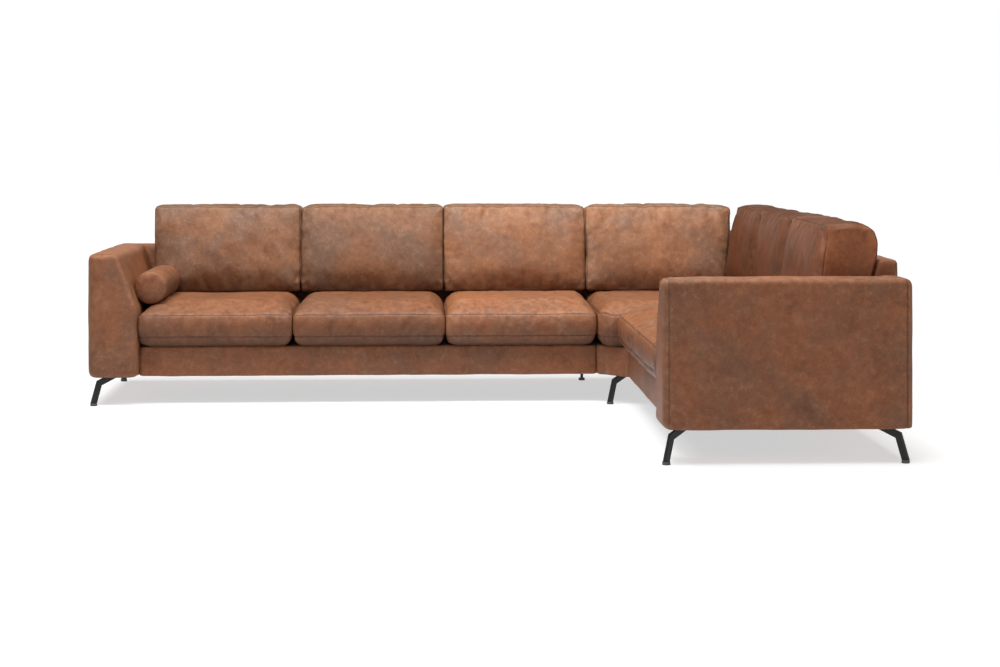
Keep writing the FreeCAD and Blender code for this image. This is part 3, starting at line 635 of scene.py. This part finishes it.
def rounded_prisms(name, prisms, rounding, toe_rounding):
    """Closed prisms, each from a ring of points and the way it is drawn out, with their edges rounded."""
    whole = bmesh.new()
    for ring, along in prisms:
        foot = min(p[2] for p in ring)
        along = Vector(along)
        start = Vector(ring[0])

        def on_foot(edge):
            return all(abs(v.co.z - foot) < ON_A_PLANE for v in edge.verts)

        def on_start(edge):
            return all((v.co - start).dot(along) < ON_A_PLANE for v in edge.verts)

        form = bmesh.new()
        face = form.faces.new([form.verts.new(p) for p in ring])
        pushed = bmesh.ops.extrude_face_region(form, geom=[face])["geom"]
        for item in pushed:
            if isinstance(item, bmesh.types.BMVert):
                item.co += along
        bmesh.ops.recalc_face_normals(form, faces=form.faces)
        round_edges(form, [e for e in form.edges if on_foot(e) and on_start(e)], toe_rounding, 5)
        round_edges(form, [e for e in form.edges if not on_foot(e)], rounding, 5)
        round_edges(form, [e for e in form.edges if on_foot(e)], FOOT_ROUND, 2)
        part = bpy.data.meshes.new(name)
        form.to_mesh(part)
        form.free()
        whole.from_mesh(part)
        bpy.data.meshes.remove(part)
    mesh = bpy.data.meshes.new(name)
    whole.to_mesh(mesh)
    whole.free()
    return add_object(name, mesh)


def swell(piece, amount, seed):
    """Pushes the middle of each face of a boxy piece outward and makes its surface slightly uneven."""
    points = points_of(piece)
    normals = normals_of(piece)
    low = points.min(0)
    share = (points - low) / (points.max(0) - low)
    dome = 4 * share * (1 - share)
    push = np.zeros(len(points))
    for axis in range(3):
        others = [a for a in range(3) if a != axis]
        push += normals[:, axis] ** 2 * np.sqrt(dome[:, others[0]] * dome[:, others[1]])
    uneven = 0.55 * waves(points, 0.30, seed) + 0.45 * waves(points, 0.11, seed + 1)
    move_to(piece, points + normals * (amount * push + 0.0011 * uneven)[:, None])


def upholster(name, node, prisms, rounding, seed, swelling=BODY_SWELL, cuts=(), tone=1.0, toe=TOE_ROUND):
    """Leather over foam: the prisms get a skin, a swelling and the grooves and threads of their seams."""
    piece = rounded_prisms(name, prisms, rounding, toe)
    even_skin(piece, BODY_VOXEL)
    swell(piece, swelling, seed)
    distance = np.full(len(piece.data.vertices), 1.0)
    points = points_of(piece)
    for place, normal in cuts:
        distance = np.minimum(distance, np.abs((points - np.array(place)) @ np.array(normal)))
    if cuts:
        move_to(piece, points - normals_of(piece) * (0.0016 * groove(distance, 0.006))[:, None])
    # Painted light on tops: the more a point faces up, the higher its worn value and its tone, so top faces
    # come out lighter. Beside the seams the worn value is real wear.
    upward = np.clip(normals_of(piece)[:, 2], 0, 1)
    worn = 0.20 * np.exp(-distance / 0.012) + 0.35 * upward
    cut_from_hide(piece, seed, worn, distance, tone * (1 + 0.30 * upward), BODY_TINT)
    dress(piece, "sofa", "body_leather")
    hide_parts(node)
    if cuts:
        seam(piece, name + "_seams", cuts, "sofa")


# %% Arms
ARM_WIDTH = 0.225
ARM_TOP = 0.692
ARM_TOP_WIDTH = 0.134
ARM_KNEE = 0.430
ARM_ROUND = 0.024
ARM_SEAM_BACK = 0.022
ARM_TOE = 0.034
DECK_TOP = 0.265
HEEL_DEPTH = 0.210
HEEL_SLOPE = 0.274
HEEL_INSIDE = 0.060
HEEL_BELOW_KNEE = 0.050
RETURN_ARM_TRIM = 0.010


def arm_prisms(low, depth):
    """The arm, wide at the foot and narrow at the top, and the heel that fills its rear beside the back."""
    outline = [(0, low.z), (0, ARM_TOP), (ARM_TOP_WIDTH, ARM_TOP), (ARM_WIDTH, ARM_KNEE), (ARM_WIDTH, low.z)]
    arm_ring = [Vector((low.x + across, low.y, z)) for across, z in outline]
    knee_line = depth - HEEL_DEPTH + (ARM_KNEE - DECK_TOP) * HEEL_SLOPE
    top_line = depth - HEEL_DEPTH + (ARM_TOP - DECK_TOP) * HEEL_SLOPE
    heel_foot = ARM_KNEE - HEEL_BELOW_KNEE
    heel_outline = [(knee_line, heel_foot), (top_line, ARM_TOP), (depth, ARM_TOP), (depth, heel_foot)]
    heel_ring = [Vector((low.x + HEEL_INSIDE, low.y + back, z)) for back, z in heel_outline]
    return [(arm_ring, (0, depth, 0)), (heel_ring, (ARM_WIDTH - HEEL_INSIDE, 0, 0))]


def to_return(ring):
    """Turns a shape of the long run into the return's: across becomes depth and depth becomes across."""
    return [Vector((y, x, z)) for x, y, z in ring]


def arm(name, node, turned, seed, tone):
    """An arm, with a seam round its front and another round its rear."""
    low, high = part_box(node)
    if turned:
        low.x += RETURN_ARM_TRIM
        straight = arm_prisms(Vector((low.y, low.x, low.z)), high.x - low.x)
        prisms = [(to_return(ring), (along[1], along[0], 0)) for ring, along in straight]
        cuts = [((place, 0, 0), (1, 0, 0)) for place in (low.x + ARM_SEAM_BACK, high.x - ARM_SEAM_BACK)]
    else:
        prisms = arm_prisms(low, high.y - low.y)
        cuts = [((0, place, 0), (0, 1, 0)) for place in (low.y + ARM_SEAM_BACK, high.y - ARM_SEAM_BACK)]
    upholster(name, node, prisms, ARM_ROUND, seed, cuts=cuts, tone=tone, toe=ARM_TOE)


# Each arm's tone is painted light and shade: the left arm is painted darker than the return arm.
arm("left_arm", "left_arm_cover", False, 11, 0.88)
arm("return_arm", "return_arm_cover", True, 23, 1.0)
print("two arms")

# %% Backs
BACK_TOP_THICKNESS = 0.077
BACK_ROUND = 0.012
TOP_SEAM_BELOW = 0.004


def back_ring(low, high, turned):
    """The back's section: upright behind, thick at the foot and sloping to a narrow top."""
    rear = high.x if turned else high.y
    foot_front = low.x if turned else low.y
    profile = [(rear, low.z), (foot_front, low.z), (foot_front, DECK_TOP),
               (rear - BACK_TOP_THICKNESS, high.z), (rear, high.z)]
    if turned:
        return [Vector((depth, high.y, z)) for depth, z in profile]
    return [Vector((low.x, depth, z)) for depth, z in profile]


def back(name, node, turned, seed):
    low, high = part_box(node)
    along = (0, low.y - high.y, 0) if turned else (high.x - low.x, 0, 0)
    rear = (high.x - TOP_SEAM_BELOW, 0, 0) if turned else (0, high.y - TOP_SEAM_BELOW, 0)
    across = (1, 0, 0) if turned else (0, 1, 0)
    upholster(name, node, [(back_ring(low, high, turned), along)], BACK_ROUND, seed, cuts=[(rear, across)])


back("long_back", "long_back_cover", False, 31)
back("return_back", "return_back_cover", True, 37)
back("corner_rear_back", "corner_rear_back_cover", False, 41)


def corner_side_back():
    """The corner's side back stops at the face of the rear one."""
    low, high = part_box("corner_side_back_cover")
    rear_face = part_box("corner_rear_back_cover")[1].y - BACK_TOP_THICKNESS
    ring = back_ring(low, Vector((high.x, rear_face, high.z)), True)
    prism = (ring, (0, low.y - rear_face, 0))
    upholster("corner_side_back", "corner_side_back_cover", [prism], BACK_ROUND, 43,
              cuts=[((high.x - TOP_SEAM_BELOW, 0, 0), (1, 0, 0))])


corner_side_back()
print("four backs")

# %% Front rails
RAIL_ROUND = 0.008
# The rails are painted darker: a painted shade for their place under the cushions' fronts.
RAIL_PAINTED_SHADE = 0.87


def box_ring(low, high):
    return [Vector((low.x, low.y, low.z)), Vector((high.x, low.y, low.z)),
            Vector((high.x, high.y, low.z)), Vector((low.x, high.y, low.z))]


def rail(name, node, seed):
    low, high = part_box(node)
    prism = (box_ring(low, high), (0, 0, high.z - low.z))
    upholster(name, node, [prism], RAIL_ROUND, seed, swelling=0.002, tone=RAIL_PAINTED_SHADE)


def corner_rail():
    """The short rail that runs slanting across the inner corner."""
    low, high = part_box("corner_front_rail")
    long_low, long_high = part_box("long_front_rail")
    thick = (long_high.y - long_low.y) * math.sqrt(2)
    ring = [Vector((low.x, high.y - thick, low.z)), Vector((high.x - thick, low.y, low.z)),
            Vector((high.x, low.y, low.z)), Vector((low.x, high.y, low.z))]
    prism = (ring, (0, 0, high.z - low.z))
    upholster("corner_rail", "corner_front_rail", [prism], RAIL_ROUND, 59, swelling=0.001, tone=RAIL_PAINTED_SHADE)


rail("long_rail", "long_front_rail", 53)
rail("return_rail", "return_front_rail", 57)
corner_rail()
print("three rails")

# %% [markdown]
# ## Loose cushions
#
# A cushion is a sewn cover that its filling tries to burst. Each cover is laid out here as its panels are
# cut: a grid over two broad panels and the border between them, with the seams on rows of the grid. A cloth
# simulation with air pressure inside and no gravity then fills it. The points on the seams hardly move,
# because there the cover is held by its border, and the cloth is a little longer than the seam it is sewn
# to, so it gathers beside it. A limit on how far a point may travel keeps neighbours apart.

# %% The grid of a cover
CELL = 0.0115


def box_grid(nu, nv, nq):
    """The surface of a box of nu by nv by nq cells: grid numbers of its points, and its faces."""
    index = {}
    corners = []
    faces = []

    def corner(spot):
        if spot not in index:
            index[spot] = len(corners)
            corners.append(spot)
        return index[spot]

    def sheet(across, up, spot):
        for a in range(across):
            for b in range(up):
                square = ((a, b), (a + 1, b), (a + 1, b + 1), (a, b + 1))
                faces.append([corner(spot(*place)) for place in square])

    for level in (0, nq):
        sheet(nu, nv, lambda a, b: (a, b, level))
    for level in (0, nv):
        sheet(nu, nq, lambda a, b: (a, level, b))
    for level in (0, nu):
        sheet(nv, nq, lambda a, b: (level, a, b))
    return np.array(corners), faces


def round_corners(across, along, width, length, radii, norms):
    """Rounds or cuts the corners of a rectangle, and of every ring inside it.

    A corner's norm of 2 makes it round and 1 makes it a straight cut. The corners go left front, right
    front, right rear, left rear.
    """
    across, along = across.copy(), along.copy()
    sides = [(0, 0), (1, 0), (1, 1), (0, 1)]
    for (right, rear), radius, norm in zip(sides, radii, norms):
        u = (width - across if right else across) - radius
        v = (length - along if rear else along) - radius
        inside = (u < 0) & (v < 0)
        reach = np.maximum(-u, -v)
        size = ((-u).clip(0) ** norm + (-v).clip(0) ** norm) ** (1 / norm)
        scale = np.where(inside, reach / np.maximum(size, 1e-9), 1.0)
        u, v = np.where(inside, u * scale, u) + radius, np.where(inside, v * scale, v) + radius
        across = width - u if right else u
        along = length - v if rear else v
    return across, along


def dome(distance, reach, power):
    """0 at a seam, 1 beyond the reach, steep beside the seam."""
    return 1 - (1 - (distance / reach).clip(0, 1)) ** power


# %% The filling
FILLING_FRAMES = 20


def fill(piece, hold, pressure, gather, travel):
    """Blows the cover up. hold is 1 for a point that stays and 0 for a free one."""
    start = points_of(piece)
    group = piece.vertex_groups.new(name="hold")
    for weight in np.unique(hold[hold > 0.01].round(2)):
        group.add(np.flatnonzero(np.isclose(hold.round(2), weight)).tolist(), float(weight), "REPLACE")
    cloth = piece.modifiers.new("filling", "CLOTH")
    cover = cloth.settings
    cover.quality = 4
    cover.mass = 0.35
    cover.tension_stiffness = cover.compression_stiffness = 16.0
    cover.shear_stiffness = 6.0
    cover.bending_stiffness = 0.6
    cover.use_pressure = True
    cover.uniform_pressure_force = pressure
    cover.shrink_min = -gather
    cover.vertex_group_mass = "hold"
    cover.effector_weights.gravity = 0.0
    cloth.collision_settings.use_collision = False
    for number in range(FILLING_FRAMES):
        scene.frame_set(number + 1)
    blown = np.empty(len(start) * 3)
    evaluated = piece.evaluated_get(bpy.context.evaluated_depsgraph_get())
    evaluated.data.vertices.foreach_get("co", blown)
    moves = blown.reshape(-1, 3) - start
    far = np.linalg.norm(moves, axis=1, keepdims=True)
    moves *= travel * np.tanh(far / travel) / np.maximum(far, 1e-9)
    piece.modifiers.clear()
    piece.vertex_groups.clear()
    scene.frame_set(1)
    move_to(piece, start + moves)


# %% A cushion from its cover to its finish
class Cushion:
    """One loose cushion, measured across from its left end, in depth from its front, and in height."""

    def __init__(self, node, body, slot, turned, seed):
        self.node = node
        self.body = body
        self.slot = slot
        self.turned = turned
        self.seed = seed
        self.low, self.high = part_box(node)
        span = self.high - self.low
        self.width, self.depth = (span.y, span.x) if turned else (span.x, span.y)
        self.tall = span.z

    def place(self, across, depth, height):
        if self.turned:
            return np.column_stack([self.low.x + depth, self.high.y - across, self.low.z + height])
        return np.column_stack([self.low.x + across, self.low.y + depth, self.low.z + height])

    def parts(self, points):
        """Across, depth and height of points in the sofa's own frame."""
        if self.turned:
            return self.high.y - points[:, 1], points[:, 0] - self.low.x, points[:, 2] - self.low.z
        return points[:, 0] - self.low.x, points[:, 1] - self.low.y, points[:, 2] - self.low.z

    def sew(self, points, faces, from_seam, along, hold, pressure, gather, travel):
        """Makes the cover, fills it and gives it its finer skin."""
        mesh = bpy.data.meshes.new(self.node + "_leather")
        mesh.from_pydata(points.tolist(), [], faces)
        form = bmesh.new()
        form.from_mesh(mesh)
        bmesh.ops.recalc_face_normals(form, faces=form.faces)
        form.to_mesh(mesh)
        form.free()
        self.piece = add_object(self.node + "_leather", mesh)
        keep_on_mesh(self.piece, "from_seam", from_seam)
        keep_on_mesh(self.piece, "along", along)
        fill(self.piece, hold, pressure, gather, travel)
        refine(self.piece)

    def kept(self, name):
        """The values of one of the cover's own rows after it was refined."""
        values = np.empty(len(self.piece.data.vertices), np.float32)
        self.piece.data.attributes[name].data.foreach_get("value", values)
        return values.astype(float)

    def finish(self, points, worn, tone, tint, fullness, rings):
        """Moves the points, sews the threads and puts the leather on."""
        move_to(self.piece, points)
        from_seam = self.kept("from_seam")
        for name in ("from_seam", "along"):
            self.piece.data.attributes.remove(self.piece.data.attributes[name])
        cut_from_hide(self.piece, self.seed, worn, from_seam, tone, tint)
        dress(self.piece, self.body, self.slot)
        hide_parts(self.node)
        for number, ring in enumerate(rings):
            thread(self.node + "_seam_%d" % (number + 1), points[ring], self.body)


def ring_order(grid, chosen, nu, nv):
    """The chosen points on the outer ring of one level, in order round it."""
    i, j = grid[:, 0], grid[:, 1]
    rear_or_left = np.where(j == nv, 2 * nu + nv - i, 2 * (nu + nv) - j)
    place = np.where(j == 0, i, np.where(i == nu, nu + j, rear_or_left))
    found = np.flatnonzero(chosen & ((i == 0) | (i == nu) | (j == 0) | (j == nv)))
    return found[np.argsort(place[found])]


def edge_distances(i, j, nu, nv, width, length):
    """For each grid point, how far the nearest edge is and how far along the edge that is."""
    left, right = i / nu * width, (1 - i / nu) * width
    near, far = j / nv * length, (1 - j / nv) * length
    sides = np.stack([near, right, far, left])
    along = np.stack([left, width + near, width + length + right, 2 * width + length + far])
    nearest = sides.argmin(0)
    return sides.min(0), along[nearest, np.arange(len(i))]


def puckers(along, from_seam, reach, pitch, seed):
    """Short gathers that run away from a seam: deepest beside it and gone within the reach."""
    line = np.column_stack([along, from_seam * 0.25, np.zeros_like(along)])
    ripple = waves(line, pitch, seed, 6) * (0.6 + 0.4 * waves(line, 0.24, seed + 1, 4))
    return ripple * np.exp(-from_seam / reach)


# %% [markdown]
# ### Seat cushions
#
# A seat cushion has a top panel, a border and a bottom panel, and its two seams run level all the way
# round. The border swells, the bottom panel tucks under, and the top rises from its seam in a
# soft roll. The corner cushion is the same with one corner cut off, where the two runs meet.

# %% Seat cushions
# The heights of the grid's rows up the border, and how far each is drawn in.
SEAT_ROWS = np.array([0.0, 0.010, 0.021, 0.034, 0.0465, 0.059, 0.0715,
                      0.084, 0.0965, 0.109, 0.1215, 0.134, 0.1465])
SEAT_INSETS = np.array([0.036, 0.019, 0.010, 0.005, 0.003, -0.001, -0.004,
                        -0.006, -0.006, -0.005, -0.003, 0.0, 0.003])
SEAT_LOW_ROW = 4
SEAT_FRONT_BACK = 0.006
SEAT_REAR_INSET = 0.006
SEAT_CORNER_ROUND = 0.020
CORNER_CUT = 0.052
SEAT_RISE = 0.056
SEAT_FRONT_ROLL = 0.24
CORNER_FRONT_ROLL = 0.15
SEAT_SIDE_ROLL = 0.075
ROLL_POWER = 2.3
SEAT_UNDER_BACK = 0.600
SEAT_PUFF = 0.004
SEAT_STILL_BELOW = 0.012
GROOVE_WIDTH = 0.0045


def seat(node, body, turned, seed, tone, corner=False):
    """A seat cushion with a level seam at the top and one near the bottom of its border."""
    cushion = Cushion(node, body, "seat_leather", turned, seed)
    front = 0.0 if corner else SEAT_FRONT_BACK
    width, length = cushion.width, cushion.depth - front
    nu, nv, nq = round(width / CELL), round(length / CELL), len(SEAT_ROWS) - 1
    grid, faces = box_grid(nu, nv, nq)
    i, j, k = grid.T
    inset = SEAT_INSETS[k]
    rear_inset = np.clip(inset, 0, SEAT_REAR_INSET)
    across = inset + i / nu * (width - 2 * inset)
    depth = inset + j / nv * (length - inset - rear_inset)
    roundness = SEAT_CORNER_ROUND + 1.2 * np.clip(inset, 0, 1)
    first = CORNER_CUT + 0.3 * inset if corner else roundness
    radii = [first, roundness, 0.6 * roundness, 0.6 * roundness]
    across, depth = round_corners(across, depth, width, length, radii, [1 if corner else 2, 2, 2, 2])
    from_edge, along = edge_distances(i, j, nu, nv, width, length)
    on_top = k == nq
    front_roll = CORNER_FRONT_ROLL if corner else SEAT_FRONT_ROLL
    rise = dome(depth, front_roll, ROLL_POWER) * dome(across, SEAT_SIDE_ROLL, ROLL_POWER)
    rise = rise * dome(length - depth, 0.02, 2)
    rise *= 1.0 if corner else dome(width - across, SEAT_SIDE_ROLL, ROLL_POWER)
    height = SEAT_ROWS[k] + np.where(on_top, SEAT_RISE * rise, 0.0)
    points = cushion.place(across, depth + front, height)
    on_panel = on_top | (k == 0)
    to_top_seam = abs(SEAT_ROWS[k] - SEAT_ROWS[-1])
    to_low_seam = abs(SEAT_ROWS[k] - SEAT_ROWS[SEAT_LOW_ROW])
    row_distance = np.minimum(to_top_seam, to_low_seam)
    from_seam = np.where(on_panel, from_edge + row_distance, row_distance)
    hold = np.where((from_seam < 0.001) & ~((k == 0) & (from_edge > 0)), 0.8, 0.0)
    hold[(k <= 1) | (j == nv) | (on_top & (depth > SEAT_UNDER_BACK))] = 1.0
    cushion.sew(points, faces, from_seam, along, hold, 4.0, 0.012, 0.016)
    points = points_of(cushion.piece)
    normals = normals_of(cushion.piece)
    from_seam, along = cushion.kept("from_seam"), cushion.kept("along")
    across, depth, height = cushion.parts(points)
    move = -0.0026 * groove(from_seam, GROOVE_WIDTH)
    move += 0.0026 * puckers(along, from_seam, 0.020, 0.050, seed)
    move += 0.0022 * waves(points, 0.30, seed + 5) + 0.0009 * waves(points, 0.10, seed + 6)
    move[height < SEAT_STILL_BELOW] = 0.0
    points = points + normals * move[:, None]
    roof = np.where(cushion.parts(points)[1] > SEAT_UNDER_BACK, 0.0, 0.004)
    points = within(cushion, points, 0.0015, SEAT_PUFF, roof)
    # Real wear beside the seams and a painted highlight on the top panel. Then painted shade: the border
    # darkens towards its foot and strongly just above the deck, a painted shadow where the cushion tucks
    # under.
    worn = 0.25 * np.exp(-from_seam / 0.010) + 0.30 * np.clip(normals[:, 2], 0, 1)
    low_on_border = np.clip(1 - height / SEAT_ROWS[-1], 0, 1)
    shade = tone * (1 - 0.45 * low_on_border ** 0.8) * (1 - 0.70 * np.exp(-height / 0.016))
    rings = [ring_order(grid, k == level, nu, nv) for level in (SEAT_LOW_ROW, nq)]
    cushion.finish(points, worn, shade, SEAT_TINT, 0.7, rings)


def within(cushion, points, sides, front, top):
    """Keeps the points in the cushion's own space and a little beyond its front and top."""
    low, high = np.array(cushion.low), np.array(cushion.high)
    across, depth = (1, 0) if cushion.turned else (0, 1)
    points[:, across] = np.clip(points[:, across], low[across] - sides, high[across] + sides)
    points[:, depth] = np.clip(points[:, depth], low[depth] - front, high[depth])
    points[:, 2] = np.clip(points[:, 2], low[2], high[2] + top)
    return points


# Each seat cushion's tone is painted light and shade: lighter where more light falls on it and darker where
# less does.
for number, tone in ((1, 0.88), (2, 0.80), (3, 1.12)):
    seat("seat_cushion_long_%d" % number, "seat_long_%d" % number, False, 100 + 10 * number, tone)
seat("seat_cushion_corner", "seat_corner", False, 150, 0.94, corner=True)
for number in (1, 2):
    seat("seat_cushion_return_%d" % number, "seat_return_%d" % number, True, 160 + 10 * number, 1.0)
print("six seat cushions")

# %% [markdown]
# ### Back cushions
#
# A back cushion is softer: a front panel, a rear panel and a border between them. It stands on the seat and
# leans on the back, so its front slopes a little and its rear slopes more. Its filling sinks, which
# leaves the top edge wavy, and the front panel gathers below its top seam and above the seat.

# %% Back cushions
BACK_BORDER = 0.155
BACK_BELOW_TOP = 0.004
BACK_CORNER_ROUNDS = [0.014, 0.014, 0.018, 0.018]
BACK_FRONT_FOOT = 0.012
BACK_REAR_FOOT = 0.167
BACK_TUCK = 0.020
BACK_TUCK_HEIGHT = 0.045
BACK_SLOPE_FRONT = 0.106
BACK_SLOPE_REAR = 0.274
BACK_SHOULDER = 0.100
BACK_SHOULDER_HEIGHT = 0.130
BACK_BULGE = 0.020
BACK_PUFF = 0.030
BACK_STILL_BELOW = 0.006


def back_cushion(node, body, turned, seed, tone, tint, ear=0.0, lean=0.0, near_end_light=0.0):
    """A back cushion. Its right top corner may stand out as an ear, its left edge may lean outward.

    The last argument is painted light: how much lighter the end that faces the camera is.
    """
    cushion = Cushion(node, body, "back_leather", turned, seed)
    width, tall = cushion.width, cushion.tall - BACK_BELOW_TOP
    nu, nv, nq = round(width / CELL), round(tall / CELL), round(BACK_BORDER / CELL)
    grid, faces = box_grid(nu, nv, nq)
    i, j, k = grid.T
    across, height = i / nu * width, j / nv * tall
    across, height = round_corners(across, height, width, tall, BACK_CORNER_ROUNDS, [2, 2, 2, 2])
    share = k / nq
    up = np.clip(height / BACK_TUCK_HEIGHT, 0, 1)
    front = BACK_FRONT_FOOT + BACK_TUCK * (1 - up) ** 2
    front = front + BACK_SLOPE_FRONT * np.clip(height - BACK_TUCK_HEIGHT, 0, 1)
    rear = BACK_REAR_FOOT + BACK_SLOPE_REAR * height
    shoulder = np.clip((height - tall + BACK_SHOULDER_HEIGHT) / BACK_SHOULDER_HEIGHT, 0, 1)
    rear -= BACK_SHOULDER * (1 - np.sqrt(1 - 0.98 * shoulder ** 2))
    from_edge, along = edge_distances(i, j, nu, nv, width, tall)
    bulge = dome(from_edge, 0.16, 2.4)
    depth = front + share * (rear - front)
    depth = depth - np.where(k == 0, BACK_BULGE * bulge, 0.0)
    across = across + ear * (across / width) ** 2 * (height / tall) ** 1.5
    across = across - lean * (1 - across / width) ** 2 * np.clip(height / 0.10, 0, 1)
    points = cushion.place(across, depth, height)
    row_distance = np.minimum(share, 1 - share) * BACK_BORDER
    on_panel = (k == 0) | (k == nq)
    from_seam = np.where(on_panel, from_edge, row_distance)
    hold = np.where(from_seam < 0.001, 0.8, 0.0)
    hold[(k == nq) | (j == 0) | ((j <= 1) & (k > 1))] = 1.0
    cushion.sew(points, faces, from_seam, along, hold, 3.5, 0.022, 0.020)
    points = points_of(cushion.piece)
    normals = normals_of(cushion.piece)
    from_seam, along = cushion.kept("from_seam"), cushion.kept("along")
    across, depth, height = cushion.parts(points)
    from_top = np.clip(tall - height, 0, 1)
    move = -0.0024 * groove(from_seam, GROOVE_WIDTH)
    move += 0.0026 * puckers(along, from_seam, 0.026, 0.048, seed)
    move += 0.0040 * waves(points, 0.34, seed + 5) + 0.0012 * waves(points, 0.12, seed + 6)
    folds = waves(np.column_stack([across, 0 * across, height * 0.10]), 0.060, seed + 7, 6)
    fold_depth = 0.0056 * np.exp(-from_top / 0.060) * (1 - 0.75 * np.clip(normals[:, 2], 0, 1))
    move += folds * (fold_depth + 0.0044 * np.exp(-height / 0.050))
    move[height < BACK_STILL_BELOW] = 0.0
    points = points + normals * move[:, None]
    points = within(cushion, points, 0.002 + ear + lean, BACK_PUFF, 0.006)
    # Real wear beside the seams and a painted highlight along the top edge. Below, painted shade darkens the
    # cover near the seat and on its top, and painted light makes the end that faces the camera lighter.
    worn = 0.20 * np.exp(-from_seam / 0.012) + 0.15 * np.exp(-from_top / 0.05)
    shade = tone * (1 - 0.30 * np.exp(-height / 0.09)) * (1 - 0.28 * np.clip(normals[:, 2], 0, 1))
    shade *= 1 + near_end_light * np.clip(-normals[:, 1], 0, 1)
    rings = [ring_order(grid, k == level, nu, nv) for level in (0, nq)]
    cushion.finish(points, worn, shade, tint, 0.55, rings)


# Each back's tone is painted light and shade: backs of the long run that face the light are painted lighter,
# and the corner side and return backs that face away are painted darker.
for number, tone, lean in ((1, 1.22, 0.013), (2, 1.17, 0.0), (3, 1.54, 0.0)):
    back_cushion("back_cushion_long_%d" % number, "back_long_%d" % number, False, 300 + 10 * number, tone,
                 LIT_BACK_TINT, lean=lean)
back_cushion("back_cushion_corner_rear", "back_corner_rear", False, 350, 1.62, LIT_BACK_TINT, ear=0.028)
back_cushion("back_cushion_corner_side", "back_corner_side", True, 360, 0.60, SHADED_TINT)
for number, tone, near_end_light in ((1, 0.58, 0.0), (2, 0.72, 1.0)):
    back_cushion("back_cushion_return_%d" % number, "back_return_%d" % number, True, 370 + 10 * number, tone,
                 SHADED_TINT, near_end_light=near_end_light)
print("seven back cushions")

# %% [markdown]
# ### The bolster
#
# The bolster is a tube of leather with a round panel sewn into each end. It lies on the first seat cushion
# against the arm. Its cover is round already, so it starts from the construction's own roll.

# %% Bolster
BOLSTER_SKIN = 0.008
BOLSTER_SEAM_IN = 0.011
BOLSTER_GROWTH = 0.002
BOLSTER_END_PUFF = 0.010
BOLSTER_END_SIZE = 0.045


def bolster():
    low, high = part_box("bolster")
    seams = (low.y + BOLSTER_SEAM_IN, high.y - BOLSTER_SEAM_IN)
    piece = add_object("bolster_leather_roll", frame["nodes"]["bolster"].data.copy())
    even_skin(piece, BOLSTER_SKIN)
    move_to(piece, points_of(piece) + normals_of(piece) * BOLSTER_GROWTH)
    points = points_of(piece)
    from_seam = np.minimum(abs(points[:, 1] - seams[0]), abs(points[:, 1] - seams[1]))
    fill(piece, 0.8 * groove(from_seam, 0.006), 4.0, 0.01, 0.006)
    refine(piece)
    points = points_of(piece)
    normals = normals_of(piece)
    middle = (low + high) / 2
    turn = np.arctan2(points[:, 2] - middle.z, points[:, 0] - middle.x)
    from_seam = np.minimum(abs(points[:, 1] - seams[0]), abs(points[:, 1] - seams[1]))
    on_end = abs(normals[:, 1])
    from_middle = np.hypot(points[:, 0] - middle.x, points[:, 2] - middle.z)
    move = -0.0020 * groove(from_seam, GROOVE_WIDTH) * (1 - on_end)
    move += 0.0016 * puckers(turn * 0.075, from_seam, 0.022, 0.035, 510) + 0.0014 * waves(points, 0.16, 511)
    points = points + normals * move[:, None]
    puff = BOLSTER_END_PUFF * groove(from_middle, BOLSTER_END_SIZE) * on_end
    points[:, 1] += np.sign(points[:, 1] - middle.y) * puff
    points = np.clip(points, np.array(low) - (0, 0.006, 0), np.array(high) + (0.005, 0.006, 0.006))
    move_to(piece, points)
    # Real wear beside the seams and a painted highlight on top. Then painted shade makes the roll darker
    # towards its underside.
    worn = 0.2 * np.exp(-from_seam / 0.010) + 0.25 * np.clip(normals[:, 2], 0, 1)
    shade = 0.62 + 0.38 * np.clip((points[:, 2] - low.z) / (high.z - low.z), 0, 1)
    cut_from_hide(piece, 500, worn, from_seam + 0.002, shade, SEAT_TINT)
    dress(piece, "bolster", "bolster_leather")
    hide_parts("bolster")
    cuts = [((0, place, 0), (0, 1, 0)) for place in seams]
    seam(piece, "bolster_seams", cuts, "bolster")


bolster()
print("one bolster")
